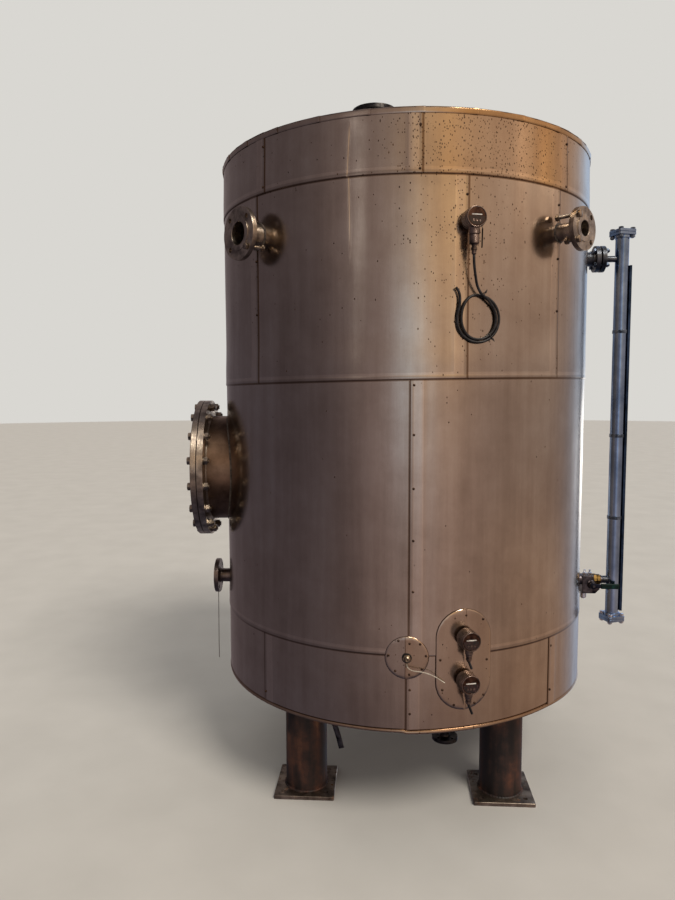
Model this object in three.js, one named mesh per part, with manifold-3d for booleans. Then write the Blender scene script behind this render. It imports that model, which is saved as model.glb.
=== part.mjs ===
// An insulated vertical storage tank: a welded vessel on four pipe legs, clad in lapped stainless sheets.
// Millimetres, +Z up. Radii are from the tank's axis, heights from the floor, and azimuths in degrees,
// counted from the front (-Y) towards the right (+X).
import * as THREE from "three";
import { mergeVertices } from "three/addons/utils/BufferGeometryUtils.js";
import Module from "manifold-3d";

// Vessel
const VESSEL_R = 700;
const VESSEL_WALL = 5;
const TANGENT_LOW = 640;
const TANGENT_HIGH = 2290;
const HEAD_DEPTH = 240;

// Cladding
const CLAD_R = 775;
const SHEET = 1.5;
const LAP_ANGLE = 1.9;
const CLAD_BOTTOM = 431;
const LIP_LOW = 418;
const LOW_SEAM = 698;
const MID_SEAM = 1658;
const MID_SEAM_SLOPE = 0.0148;
const HIGH_SEAM = 2337;
const RIM_TOP = 2551;
const RIM_DROP = 20;
const ROOF_APEX = 2640;
const BOTTOM_APEX = 362;
const BEAD = 3;

// Supports
const LEG_OFFSET = 395;
const LEG_R = 84.15;
const LEG_WALL = 5;
const PLATE = 240;
const PLATE_THICK = 15;
const PLATE_HOLE_OFFSET = 86;
const PLATE_HOLE_R = 9;

// Manway
const MANWAY_Z = 1285;
const MANWAY_AZIMUTH = -85;
const MANWAY_FLANGE_R = 297.5;
const MANWAY_NECK_R = 228.5;
const MANWAY_WALL = 8;
const MANWAY_JOINT = 874;

// Level gauge, on the right
const GAUGE_AZIMUTH = 90;
const GAUGE_R = 950;
const CHAMBER_R = 28.5;
const GAUGE_TOP = 2300;
const GAUGE_BOTTOM = 602;
const BRANCH_HIGH = 2190;
const BRANCH_LOW = 774;
const VALVE_R = 850;
const VALVE_STEM_Z = 757;

// Instrument heads and their covers
const HEAD_AZIMUTH = 15;
const ROUND_COVER_Z = 692;
const ROUND_COVER_R = 77.5;
const LONG_COVER_LOW = 498;
const LONG_COVER_HIGH = 862;
const LONG_COVER_R = 103;

// Clearance between pieces that rest on each other, and facets round the tank
const SEAT = 0.3;
const FACETS = 48;
const FACET = 360 / FACETS;
const DEGREE = Math.PI / 180;

const wasm = await Module();
wasm.setup();

// A closed geometry as a solid that can be joined and cut.
function solid(geometry) {
  const bare = geometry.index ? geometry.toNonIndexed() : geometry.clone();
  bare.deleteAttribute("normal");
  bare.deleteAttribute("uv");
  const merged = mergeVertices(bare, 1e-3);
  const vertProperties = merged.attributes.position.array;
  const triVerts = new Uint32Array(merged.index.array);
  return new wasm.Manifold(new wasm.Mesh({ numProp: 3, vertProperties, triVerts }));
}

// A solid back as a geometry, ready for a mesh.
function geometryOf(made) {
  const mesh = made.getMesh();
  const geometry = new THREE.BufferGeometry();
  geometry.setAttribute("position", new THREE.BufferAttribute(mesh.vertProperties, 3));
  geometry.setIndex(new THREE.BufferAttribute(mesh.triVerts, 1));
  geometry.computeVertexNormals();
  return geometry;
}

const joined = (...pieces) => geometryOf(pieces.map(solid).reduce((a, b) => a.add(b)));

const cut = (piece, ...tools) => geometryOf(tools.map(solid).reduce((a, b) => a.subtract(b), solid(piece)));

// A profile of [radius, height] points turned about the vertical axis. It closes on itself, or starts
// and ends on the axis.
function turned(profile, facets = FACETS) {
  const points = profile.map(([r, z]) => new THREE.Vector2(r, z));
  if (THREE.ShapeUtils.area(points) < 0) points.reverse();
  const onAxis = points[0].x === 0 && points.at(-1).x === 0;
  if (!onAxis) points.push(points[0]);
  return new THREE.LatheGeometry(points, facets).rotateX(Math.PI / 2);
}

const disc = (r, low, high, facets) => turned([[0, low], [r, low], [r, high], [0, high]], facets);

const tube = (inner, outer, low, high, facets) =>
  turned([[inner, low], [outer, low], [outer, high], [inner, high]], facets);

// Lays a piece turned about the vertical along a radius that faces the front, at height z and t to
// the right. What was its height becomes the distance from the tank's axis.
const outward = (piece, z, t = 0) => piece.rotateX(Math.PI / 2).translate(t, 0, z);

const box = (x, y, z, cx, cy, cz) => new THREE.BoxGeometry(x, y, z).translate(cx, cy, cz);

// An outline of [x, y] points raised from one height to another.
function raised(outline, low, high) {
  const shape = new THREE.Shape(outline.map(([x, y]) => new THREE.Vector2(x, y)));
  return new THREE.ExtrudeGeometry(shape, { depth: high - low, bevelEnabled: false }).translate(0, 0, low);
}

// A prism with six sides, its flats a given distance apart.
function hexagon(flats, low, high) {
  return disc(flats / Math.sqrt(3), low, high, 6);
}

// Points along the tank's facets, from one azimuth to another: the corners between them at radius r,
// and the two ends on their facets.
function arc(r, from, to) {
  const azimuths = [from];
  for (let a = Math.ceil(from / FACET) * FACET; a < to - 0.01; a += FACET) {
    if (a > from + 0.01) azimuths.push(a);
  }
  azimuths.push(to);
  return azimuths.map((a) => {
    const middle = (Math.floor(a / FACET) + 0.5) * FACET;
    const reach = (r * Math.cos((FACET / 2) * DEGREE)) / Math.cos((a - middle) * DEGREE);
    return [reach * Math.sin(a * DEGREE), -reach * Math.cos(a * DEGREE)];
  });
}

// The quarter of an ellipse from the rim of a dished head to its middle.
function dish(r, depth, steps = 4) {
  const points = [];
  for (let i = 0; i <= steps; i += 1) {
    const angle = (i / steps) * 90 * DEGREE;
    points.push([i === steps ? 0 : r * Math.cos(angle), depth * Math.sin(angle)]);
  }
  return points;
}

// A cable of a given diameter along a smooth curve through points.
function cable(points, diameter, steps, sides = 8) {
  const curve = new THREE.CatmullRomCurve3(points.map((p) => new THREE.Vector3(...p)));
  const section = new THREE.Shape();
  for (let i = 0; i < sides; i += 1) {
    const angle = (i / sides) * 2 * Math.PI;
    const x = (diameter / 2) * Math.cos(angle);
    const y = (diameter / 2) * Math.sin(angle);
    if (i === 0) section.moveTo(x, y);
    else section.lineTo(x, y);
  }
  return new THREE.ExtrudeGeometry(section, { steps, extrudePath: curve, curveSegments: 1 });
}

const materials = {
  cladding: { color: 0x9a9084, metalness: 1, roughness: 0.3 },
  vessel: { color: 0x8c8c88, metalness: 1, roughness: 0.5 },
  leg: { color: 0x4a2f22, metalness: 0.3, roughness: 0.8 },
  flange: { color: 0x847c70, metalness: 1, roughness: 0.4 },
  instrument: { color: 0x55504a, metalness: 0.9, roughness: 0.4 },
  brass: { color: 0xa8823c, metalness: 1, roughness: 0.4 },
  lever: { color: 0x2f7d5a, metalness: 0, roughness: 0.5 },
  cable: { color: 0x151515, metalness: 0, roughness: 0.6 },
  wire: { color: 0xc9bd9f, metalness: 0, roughness: 0.6 },
};

const tank = new THREE.Group();

// A named piece, in the tank's frame or in a group that is turned to its azimuth.
function add(name, geometry, material, parent = tank) {
  const mesh = new THREE.Mesh(geometry, new THREE.MeshStandardMaterial(materials[material]));
  mesh.name = name;
  parent.add(mesh);
  return mesh;
}

// A group whose front faces an azimuth.
function facing(azimuth) {
  const group = new THREE.Group();
  group.rotation.z = azimuth * DEGREE;
  tank.add(group);
  return group;
}

// The nozzles that stand out through the cladding
const nozzles = [
  {
    name: "nozzle_front_left", azimuth: -45, z: 2190, face: 862, flangeR: 95, thick: 18, boltCircle: 150,
    holeR: 9, pipeR: 44.45, wall: 3.2, raisedR: 61,
  },
  {
    name: "nozzle_front_right", azimuth: 45, z: 2185, face: 875, flangeR: 76, thick: 19, boltCircle: 121,
    holeR: 9, pipeR: 30.15, wall: 2.9, raisedR: 46,
  },
  {
    name: "nozzle_low_left", azimuth: -87, z: 783, face: 847, flangeR: 76, thick: 19, boltCircle: 121,
    holeR: 9, pipeR: 30.15, wall: 2.9, raisedR: 46,
  },
];
const GAUGE_NECK_R = 30.15;
const VALVE_NECK_R = 24.15;
const STEM_R = 10.5;
const GLAND_STEM_R = 12;
const THROUGH = 4;

// Holes that the cladding has for what passes through it: azimuth, height, radius
const passages = [
  ...nozzles.map((n) => [n.azimuth, n.z, n.pipeR + THROUGH]),
  [MANWAY_AZIMUTH, MANWAY_Z, MANWAY_NECK_R + THROUGH],
  [GAUGE_AZIMUTH, BRANCH_HIGH, GAUGE_NECK_R + THROUGH],
  [GAUGE_AZIMUTH, BRANCH_LOW, VALVE_NECK_R + THROUGH],
  [HEAD_AZIMUTH, 2185, STEM_R + 1],
  [HEAD_AZIMUTH, 765, STEM_R + 1],
  [HEAD_AZIMUTH, 613, STEM_R + 1],
  [0, ROUND_COVER_Z, GLAND_STEM_R + 1],
];

// The rods that cut those holes, with a shallow seat in the vessel's wall
const WALL_SEAT = 2;
const passageRods = passages.map(([azimuth, z, r]) => {
  const facets = r > 100 ? 40 : 16;
  const rod = outward(disc(r, VESSEL_R - WALL_SEAT, CLAD_R + 50, facets), z);
  return { low: z - r, high: z + r, rod: rod.rotateZ(azimuth * DEGREE) };
});

const rodsBetween = (low, high) =>
  passageRods.filter((p) => p.high > low && p.low < high).map((p) => p.rod);

// Vessel wall, with the rings that hold the cladding off it at each seam
const RING_R = CLAD_R - SHEET - SEAT;
const RING_HALF = 15;
function supportRing(z) {
  return [[VESSEL_R, z - RING_HALF], [RING_R, z - RING_HALF], [RING_R, z + RING_HALF], [VESSEL_R, z + RING_HALF]];
}
const shellWall = turned([
  [VESSEL_R - VESSEL_WALL, TANGENT_LOW],
  [VESSEL_R, TANGENT_LOW],
  ...supportRing(LOW_SEAM),
  ...supportRing(MID_SEAM),
  ...supportRing(HIGH_SEAM - 40),
  [VESSEL_R, TANGENT_HIGH + 30],
  [VESSEL_R - VESSEL_WALL, TANGENT_HIGH + 30],
]);
const bores = nozzles.map((n) =>
  outward(disc(n.pipeR - n.wall, VESSEL_R - 60, VESSEL_R + 20, 24), n.z).rotateZ(n.azimuth * DEGREE));
const manwayBore = outward(disc(MANWAY_NECK_R - MANWAY_WALL, VESSEL_R - 120, VESSEL_R + 20, 48), MANWAY_Z)
  .rotateZ(MANWAY_AZIMUTH * DEGREE);
const glandHole = passageRods.at(-1).rod;
add("vessel_shell", cut(shellWall, ...bores, manwayBore, glandHole), "vessel");

// What the nozzles and stems end on: the vessel's outside, a seat's clearance off it, as it lies in a
// group that faces an azimuth
function vesselRound(azimuth = 0) {
  return disc(VESSEL_R + SEAT, TANGENT_LOW - 60, TANGENT_HIGH + 30).rotateZ(-azimuth * DEGREE);
}

// Dished heads, each an ellipse with the vessel's wall thickness
function head(sign, tangent) {
  const outer = dish(VESSEL_R, HEAD_DEPTH).reverse();
  const inner = dish(VESSEL_R - VESSEL_WALL, HEAD_DEPTH - VESSEL_WALL);
  return [...outer, ...inner].map(([r, z]) => [r, tangent + sign * (z + SEAT)]);
}
// The space that a head fills, with the clearance of what is welded to it
function headEnvelope(sign, tangent) {
  const outline = dish(VESSEL_R + SEAT, HEAD_DEPTH + SEAT).map(([r, z]) => [r, tangent + sign * (z + SEAT)]);
  return turned([[0, tangent - sign * 60], [VESSEL_R + SEAT, tangent - sign * 60], ...outline]);
}
const TOP_TANGENT = TANGENT_HIGH + 30;

// Nozzle on the roof, upright, and the drain under the front, hanging
const ROOF_NOZZLE = { x: -120, y: -360, top: 2700, flangeR: 85, pipeR: 30.15 };
const DRAIN = { x: 160, y: -500, bottom: 262, flangeR: 50, pipeR: 16.85 };
function uprightFlange({ flangeR, pipeR, bore, thick, boltCircle, holeR, length }) {
  const profile = [[bore, -length], [pipeR, -length], [pipeR, -thick], [flangeR, -thick], [flangeR, -2],
    [flangeR * 0.66, -2], [flangeR * 0.66, 0], [bore, 0]];
  return cut(turned(profile, 24), ...boltHoles(boltCircle, holeR, -thick - 5, 5));
}

function boltHoles(boltCircle, holeR, low, high) {
  return [45, 135, 225, 315].map((a) => {
    const x = (boltCircle / 2) * Math.cos(a * DEGREE);
    const y = (boltCircle / 2) * Math.sin(a * DEGREE);
    return disc(holeR, low, high, 8).translate(x, y, 0);
  });
}

const roofFlange = uprightFlange({
  flangeR: ROOF_NOZZLE.flangeR, pipeR: ROOF_NOZZLE.pipeR, bore: 27, thick: 18, boltCircle: 130, holeR: 8,
  length: 300,
}).translate(ROOF_NOZZLE.x, ROOF_NOZZLE.y, ROOF_NOZZLE.top);
const roofBore = disc(27, 2400, 2600, 24).translate(ROOF_NOZZLE.x, ROOF_NOZZLE.y, 0);
add("top_head", cut(turned(head(1, TOP_TANGENT)), roofBore), "vessel");
add("roof_nozzle", cut(roofFlange, headEnvelope(1, TOP_TANGENT)), "flange");

const drainFlange = uprightFlange({
  flangeR: DRAIN.flangeR, pipeR: DRAIN.pipeR, bore: 14, thick: 16, boltCircle: 75, holeR: 5.5, length: 300,
}).rotateX(Math.PI).translate(DRAIN.x, DRAIN.y, DRAIN.bottom);
const drainBore = disc(14, 400, 560, 16).translate(DRAIN.x, DRAIN.y, 0);
add("bottom_head", cut(turned(head(-1, TANGENT_LOW)), drainBore), "vessel");
add("drain_nozzle", cut(drainFlange, headEnvelope(-1, TANGENT_LOW)), "flange");

// Roof cover, a shallow cone with a turned-down rim outside the top band
const RIM_R = CLAD_R + SHEET + 2 * SEAT;
const roofProfile = [
  [0, ROOF_APEX],
  [RIM_R + SHEET, RIM_TOP],
  [RIM_R + SHEET, RIM_TOP - RIM_DROP],
  [RIM_R, RIM_TOP - RIM_DROP],
  [RIM_R, RIM_TOP - SHEET],
  [0, ROOF_APEX - SHEET],
];
const roofHole = disc(ROOF_NOZZLE.pipeR + 1, 2500, 2700, 32).translate(ROOF_NOZZLE.x, ROOF_NOZZLE.y, 0);
add("roof_cover", cut(turned(roofProfile), roofHole), "cladding");

// Bottom cover, a shallow cone whose edge is a lip under the lowest band, with a flange inside that band
// and holes for the legs and drain
const BOTTOM_R = CLAD_R - SHEET - SEAT;
const bottomProfile = [
  [0, BOTTOM_APEX],
  [CLAD_R, LIP_LOW],
  [CLAD_R, CLAD_BOTTOM - SEAT],
  [BOTTOM_R, CLAD_BOTTOM - SEAT],
  [BOTTOM_R, CLAD_BOTTOM + 18],
  [BOTTOM_R - SHEET, CLAD_BOTTOM + 18],
  [BOTTOM_R - SHEET, LIP_LOW + SHEET],
  [0, BOTTOM_APEX + SHEET],
];
const legPlaces = [
  ["leg_front_left", -1, -1],
  ["leg_front_right", 1, -1],
  ["leg_rear_left", -1, 1],
  ["leg_rear_right", 1, 1],
];
const legHoles = legPlaces.map(([, sx, sy]) =>
  disc(LEG_R + 2, 300, 500, 16).translate(sx * LEG_OFFSET, sy * LEG_OFFSET, 0));
const drainHole = disc(DRAIN.pipeR + 1, 300, 500, 16).translate(DRAIN.x, DRAIN.y, 0);
add("bottom_cover", cut(turned(bottomProfile), ...legHoles, drainHole), "cladding");

// Legs: a pipe cut to the bottom head, on a square plate with a hole near each corner
function leg(sx, sy) {
  const pipe = tube(LEG_R - LEG_WALL, LEG_R, PLATE_THICK - 1, 600, 24);
  const above = headEnvelope(-1, TANGENT_LOW).translate(-sx * LEG_OFFSET, -sy * LEG_OFFSET, 0);
  const plate = box(PLATE, PLATE, PLATE_THICK, 0, 0, PLATE_THICK / 2);
  const holes = [[1, 1], [1, -1], [-1, 1], [-1, -1]].map(([hx, hy]) =>
    disc(PLATE_HOLE_R, -5, PLATE_THICK + 5, 8).translate(hx * PLATE_HOLE_OFFSET, hy * PLATE_HOLE_OFFSET, 0));
  return cut(joined(cut(pipe, above), plate), ...holes);
}
for (const [name, sx, sy] of legPlaces) {
  add(name, leg(sx, sy), "leg").position.set(sx * LEG_OFFSET, sy * LEG_OFFSET, 0);
}

const JOG = 0.12;

// Plan of a run of cladding sheets. Each sheet stands over its right neighbour by a lap, which ends at
// the seam that shows; with rightOver the plan is mirrored, so that each stands over its left one.
function cladPlan(from, to, seams, rightOver) {
  const mirror = rightOver ? -1 : 1;
  const start = Math.min(from * mirror, to * mirror) - LAP_ANGLE;
  const end = Math.max(from * mirror, to * mirror);
  const inner = CLAD_R - SHEET;
  const outer = CLAD_R;
  const step = SHEET + SEAT;
  const outside = [];
  let reached = start + JOG;
  for (const seam of seams.map((s) => s * mirror).sort((a, b) => a - b)) {
    outside.push(...arc(outer, reached, seam - LAP_ANGLE));
    outside.push(...arc(outer + step, seam - LAP_ANGLE + JOG, seam));
    reached = seam + JOG;
  }
  const lapStart = end - LAP_ANGLE - JOG;
  outside.push(...arc(outer, reached, lapStart - JOG));
  outside.push(...arc(outer + step, lapStart, end));
  const inside = [...arc(inner, start + JOG, lapStart), ...arc(inner + step, lapStart + 0.01, end)];
  const outline = [...outside, ...inside.reverse()];
  return outline.map(([x, y]) => [x * mirror, y]);
}

// Plan of the bead that stands out along the lower edge of the top band.
function beadPlan(from, to) {
  const lapStart = to - LAP_ANGLE;
  const inside = [...arc(CLAD_R - SHEET / 2, from + JOG, lapStart - JOG), ...arc(CLAD_R + SEAT, lapStart, to)];
  return [...arc(CLAD_R + BEAD, from + JOG, to), ...inside.reverse()];
}

// The half space above or below the middle seam, which is not quite level.
function beyondSeam(side, gap) {
  const size = 2400;
  const slab = box(size, size, size, 0, 0, side * (size / 2 + gap));
  return slab.rotateY(-Math.atan(MID_SEAM_SLOPE)).translate(0, 0, MID_SEAM);
}

const bands = [
  { name: "top", low: HIGH_SEAM, high: RIM_TOP - SHEET - SEAT, split: 3.35, seams: [-41.65, 48.35], over: false },
  { name: "upper", low: MID_SEAM - 20, high: HIGH_SEAM - SEAT, split: 15, seams: [-45, 45], over: false },
  { name: "middle", low: LOW_SEAM + SEAT, high: MID_SEAM + 20, split: 0.45, seams: [], over: true },
  { name: "bottom", low: CLAD_BOTTOM, high: LOW_SEAM, split: -0.2, seams: [-44.1, 44.1], over: true },
];
for (const { name, low, high, split, seams, over } of bands) {
  const left = seams.filter((s) => s < split);
  const right = seams.filter((s) => s > split);
  const halves = [["left", split - 180, split, left], ["right", split, split + 180, right]];
  for (const [side, from, to, own] of halves) {
    let sheets = raised(cladPlan(from, to, own, over), low, high);
    if (name === "top") {
      sheets = joined(sheets, raised(beadPlan(from, to), low, low + 9));
    }
    if (name === "upper") sheets = cut(sheets, beyondSeam(-1, 0));
    if (name === "middle") sheets = cut(sheets, beyondSeam(1, -SEAT));
    add("cladding_" + name + "_" + side, cut(sheets, ...rodsBetween(low, high)), "cladding");
  }
}

// Manway: neck with its flange, and a flat cover bolted to it
const manway = facing(MANWAY_AZIMUTH);
const manwayBoreR = MANWAY_NECK_R - MANWAY_WALL;
const MANWAY_FLANGE = 27;
const MANWAY_COVER = 25;
const manwayNeck = turned([
  [manwayBoreR, VESSEL_R - 100],
  [MANWAY_NECK_R, VESSEL_R - 100],
  [MANWAY_NECK_R, MANWAY_JOINT - MANWAY_FLANGE],
  [MANWAY_FLANGE_R, MANWAY_JOINT - MANWAY_FLANGE],
  [MANWAY_FLANGE_R, MANWAY_JOINT],
  [manwayBoreR, MANWAY_JOINT],
], 48);
add("manway_neck", cut(outward(manwayNeck, MANWAY_Z), vesselRound(MANWAY_AZIMUTH)), "flange", manway);
const manwayPlate = disc(MANWAY_FLANGE_R, MANWAY_JOINT + SEAT, MANWAY_JOINT + MANWAY_COVER, 48);
add("manway_cover", outward(manwayPlate, MANWAY_Z), "flange", manway);

// Flanged nozzles, each a pipe that ends on the vessel, with a raised face and four bolt holes
for (const n of nozzles) {
  const bore = n.pipeR - n.wall;
  const profile = [
    [bore, VESSEL_R - 30],
    [n.pipeR, VESSEL_R - 30],
    [n.pipeR, n.face - 2 - n.thick],
    [n.flangeR, n.face - 2 - n.thick],
    [n.flangeR, n.face - 2],
    [n.raisedR, n.face - 2],
    [n.raisedR, n.face],
    [bore, n.face],
  ];
  const flange = cut(turned(profile, 24), ...boltHoles(n.boltCircle, n.holeR, n.face - 30, n.face + 5));
  add(n.name, cut(outward(flange, n.z), vesselRound(n.azimuth)), "flange", facing(n.azimuth));
}

// Loose bolts left hanging in the flanges' holes: head in front, nut at the end of the shank
function looseBolt(front, end) {
  const shank = disc(7, end, front, 8);
  const nut = hexagon(22, end + 3, end + 15);
  return joined(shank, hexagon(22, front - 1, front + 9), nut);
}
const looseBolts = [
  ["loose_bolt_left", nozzles[0], 1, -1, 784],
  ["loose_bolt_right_high", nozzles[1], -1, 1, 784],
  ["loose_bolt_right_low", nozzles[1], -1, -1, 822],
];
for (const [name, n, side, up, end] of looseBolts) {
  const offset = (n.boltCircle / 2) * Math.SQRT1_2;
  const bolt = outward(looseBolt(n.face - 2 + 1 + SEAT, end), n.z + up * offset, side * offset);
  add(name, bolt, "flange", facing(n.azimuth));
}

// Level gauge. Its group faces the right: there, t to the left is towards the front of the tank.
const gauge = facing(GAUGE_AZIMUTH);
const FLANGE_BACK = 830;
const GAUGE_FLANGE = 18;
const GAUGE_FLANGE_R = 56;
const GASKET = 6;
const neckProfile = [
  [0, VESSEL_R - 20],
  [GAUGE_NECK_R, VESSEL_R - 20],
  [GAUGE_NECK_R, FLANGE_BACK],
  [GAUGE_FLANGE_R, FLANGE_BACK],
  [GAUGE_FLANGE_R, FLANGE_BACK + GAUGE_FLANGE],
  [0, FLANGE_BACK + GAUGE_FLANGE],
];
const upperNeck = outward(turned(neckProfile, 24), BRANCH_HIGH);
add("gauge_upper_nozzle", cut(upperNeck, vesselRound(GAUGE_AZIMUTH)), "flange", gauge);

// The space round the standpipe, so that what is welded to it ends on its curve
const chamberRound = () => disc(CHAMBER_R + SEAT, 500, 2400, 24).translate(0, -GAUGE_R, 0);
const armFace = FLANGE_BACK + GAUGE_FLANGE + SEAT;
const armProfile = [
  [0, armFace],
  [GAUGE_FLANGE_R * 0.7, armFace],
  [GAUGE_FLANGE_R * 0.7, armFace + GASKET],
  [GAUGE_FLANGE_R, armFace + GASKET],
  [GAUGE_FLANGE_R, armFace + GASKET + GAUGE_FLANGE],
  [13.45, armFace + GASKET + GAUGE_FLANGE],
  [13.45, GAUGE_R],
  [0, GAUGE_R],
];
const upperArm = outward(turned(armProfile, 24), BRANCH_HIGH);
add("gauge_upper_arm", cut(upperArm, chamberRound()), "flange", gauge);

// Standpipe with a square flange at each end, set askew, a collar next to each, and a square cover
const END_PLATE = 12;
const END_SIDE = 82;
const END_CORNER = 8;
const END_ASKEW = 18;
const COLLAR_R = 35;
function endPlate(low, high) {
  const shape = new THREE.Shape();
  const reach = END_SIDE / 2 - END_CORNER;
  [[1, 1, 0], [-1, 1, 90], [-1, -1, 180], [1, -1, 270]].forEach(([x, y, from]) =>
    shape.absarc(x * reach, y * reach, END_CORNER, from * DEGREE, (from + 90) * DEGREE));
  const plate = new THREE.ExtrudeGeometry(shape, { depth: high - low, bevelEnabled: false, curveSegments: 3 });
  return plate.rotateZ(END_ASKEW * DEGREE).translate(0, 0, low);
}
const chamber = joined(
  tube(CHAMBER_R - 3, CHAMBER_R, GAUGE_BOTTOM, GAUGE_TOP, 24),
  disc(COLLAR_R, GAUGE_BOTTOM + END_PLATE - 1, GAUGE_BOTTOM + 2 * END_PLATE, 24),
  disc(COLLAR_R, GAUGE_TOP - 2 * END_PLATE, GAUGE_TOP - END_PLATE + 1, 24),
  endPlate(GAUGE_BOTTOM, GAUGE_BOTTOM + END_PLATE),
  endPlate(GAUGE_TOP - END_PLATE, GAUGE_TOP),
);
const chamberBore = disc(CHAMBER_R - 3, GAUGE_BOTTOM - 5, GAUGE_TOP + 5, 24);
add("gauge_standpipe", cut(chamber, chamberBore), "flange", gauge).position.y = -GAUGE_R;
const topPlate = endPlate(GAUGE_TOP + SEAT, GAUGE_TOP + END_PLATE);
add("gauge_top_cover", topPlate, "flange", gauge).position.y = -GAUGE_R;
const bottomPlate = endPlate(GAUGE_BOTTOM - END_PLATE, GAUGE_BOTTOM - SEAT);
add("gauge_bottom_cover", bottomPlate, "flange", gauge).position.y = -GAUGE_R;

// Indicator rail on the outer side of the standpipe, held by three band clamps
const RAIL_LOW = 636;
const RAIL_HIGH = 2161;
const RAIL_WIDE = 34;
const RAIL_DEEP = 11;
const rail = box(RAIL_WIDE, RAIL_DEEP, RAIL_HIGH - RAIL_LOW, 0,
  -(CHAMBER_R + SEAT + RAIL_DEEP / 2), (RAIL_LOW + RAIL_HIGH) / 2);
const clamps = [1058, 1423, 1877].map((z) => tube(CHAMBER_R + 0.8, CHAMBER_R + 2.5, z - 7, z + 7, 16));
add("gauge_indicator", joined(rail, ...clamps), "flange", gauge).position.y = -GAUGE_R;

// Lower arm of the gauge: a pipe with two hexagon nuts, which sit in the notch of the valve's block
const VALVE_OUT = 887;
const NUTS_IN = 861;
const lowerArm = joined(
  outward(disc(16.85, NUTS_IN + SEAT, GAUGE_R, 20), BRANCH_LOW),
  outward(hexagon(46, NUTS_IN + SEAT, NUTS_IN + 16), BRANCH_LOW),
  outward(hexagon(42, NUTS_IN + 17, NUTS_IN + 32), BRANCH_LOW),
);
add("gauge_lower_arm", cut(lowerArm, chamberRound()), "brass", gauge);

// Ball valve: block body on a neck from the vessel, two bolts on top, a drain plug below, and the
// stem that the lever turns on, which points to the front of the tank
const VALVE_IN = 810;
const VALVE_HALF = 25;
const STEM_END = 64;
const VALVE_STEM_R = 6;
const bodyOutline = [
  [VALVE_IN, 715],
  [868, 715],
  [VALVE_OUT, 734],
  [VALVE_OUT, 746],
  [NUTS_IN, 746],
  [NUTS_IN, 795],
  [VALVE_IN, 795],
];
// The outline lies in radius and height: x of the extrusion becomes the radius, y the height.
const valveBlock = raised(bodyOutline, -VALVE_HALF, VALVE_HALF).rotateX(Math.PI / 2).rotateZ(-Math.PI / 2);
const neckRod = outward(disc(VALVE_NECK_R, VESSEL_R - 20, VALVE_IN + 1, 20), BRANCH_LOW);
const valveNeck = cut(neckRod, vesselRound(GAUGE_AZIMUTH));
const valveBolts = [826, 849].map((r) => hexagon(17, 794, 818).translate(0, -r, 0));
const drainPlug = disc(13.5, 688, 716, 16).translate(0, -822, 0);
const valveBoss = disc(15, VALVE_HALF - 1, 48, 16).rotateY(-Math.PI / 2).translate(0, -VALVE_R, VALVE_STEM_Z);
const valveStem = disc(VALVE_STEM_R, 47, STEM_END, 12).rotateY(-Math.PI / 2).translate(0, -VALVE_R, VALVE_STEM_Z);
const valve = joined(valveBlock, valveNeck, ...valveBolts, drainPlug, valveBoss, valveStem);
add("ball_valve", valve, "brass", gauge);

// Lever on the stem: a hub, a flat bar outwards along the pipe, and a flat sleeve on its end
const LEVER_NEAR = 48 + SEAT;
const LEVER_END = 962;
const hub = tube(VALVE_STEM_R + SEAT, 13, LEVER_NEAR, 60, 16).rotateY(-Math.PI / 2);
const hubInPlace = hub.translate(0, -VALVE_R, VALVE_STEM_Z);
const bar = box(4, LEVER_END - VALVE_R - 22, 18, -55, -(VALVE_R + LEVER_END + 2) / 2, VALVE_STEM_Z);
const sleeve = box(10, 80, 24, -55, -(LEVER_END - 40), VALVE_STEM_Z);
const neckOfHub = box(4, 16, 18, -55, -(VALVE_R + 14.5), VALVE_STEM_Z);
add("valve_lever", joined(hubInPlace, bar, sleeve, neckOfHub), "lever", gauge);

// Instrument heads: a stem from the vessel, a round housing that faces out, and a gland below
const heads = facing(HEAD_AZIMUTH);
const HEAD_BACK = 790;
const HEAD_FACE = 845;
const HEAD_R = 35;
const GLAND_R = 822;
function instrumentHead(z, glandLength) {
  const stem = outward(disc(STEM_R, VESSEL_R - 20, HEAD_BACK + 1, 12), z);
  const housing = outward(disc(HEAD_R, HEAD_BACK, HEAD_FACE, 24), z);
  const neck = disc(18, z - 58, z - 20, 16).translate(0, -GLAND_R, 0);
  const gland = disc(11, z - glandLength, z - 57, 12).translate(0, -GLAND_R, 0);
  return cut(joined(stem, housing, neck, gland), vesselRound(HEAD_AZIMUTH));
}
const UPPER_GLAND = 118;
add("instrument_head_upper", instrumentHead(2185, UPPER_GLAND), "instrument", heads);

// The two lower heads keep a short, stiff end of their cut cables
function cableEnd(z, length) {
  const lean = 22 * DEGREE;
  return disc(4.5, -length, 3, 10).rotateY(-lean).translate(0, -GLAND_R, z - 76);
}
add("instrument_head_middle", joined(instrumentHead(765, 76), cableEnd(765, 28)), "instrument", heads);
add("instrument_head_lower", joined(instrumentHead(613, 76), cableEnd(613, 38)), "instrument", heads);

// Round cover over the seam, in two halves, with a gland through its middle
const COVER_IN = CLAD_R + SHEET + 2 * SEAT;
function roundCoverHalf(from, to) {
  const outline = [...arc(COVER_IN + SHEET, from, to), ...arc(COVER_IN, from, to).reverse()];
  const plate = raised(outline, ROUND_COVER_Z - 90, ROUND_COVER_Z + 90);
  const edge = outward(tube(ROUND_COVER_R, 200, 700, 850, 40), ROUND_COVER_Z);
  const middle = outward(disc(GLAND_STEM_R + 0.5, 700, 850, 16), ROUND_COVER_Z);
  return cut(plate, edge, middle);
}
add("round_cover_left", roundCoverHalf(-8, -0.02), "cladding");
add("round_cover_right", roundCoverHalf(0.02, 8), "cladding");
const glandStem = cut(outward(disc(GLAND_STEM_R, VESSEL_R - 20, 786, 16), ROUND_COVER_Z), vesselRound());
const glandNut = outward(hexagon(30, 785, 800), ROUND_COVER_Z);
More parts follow.
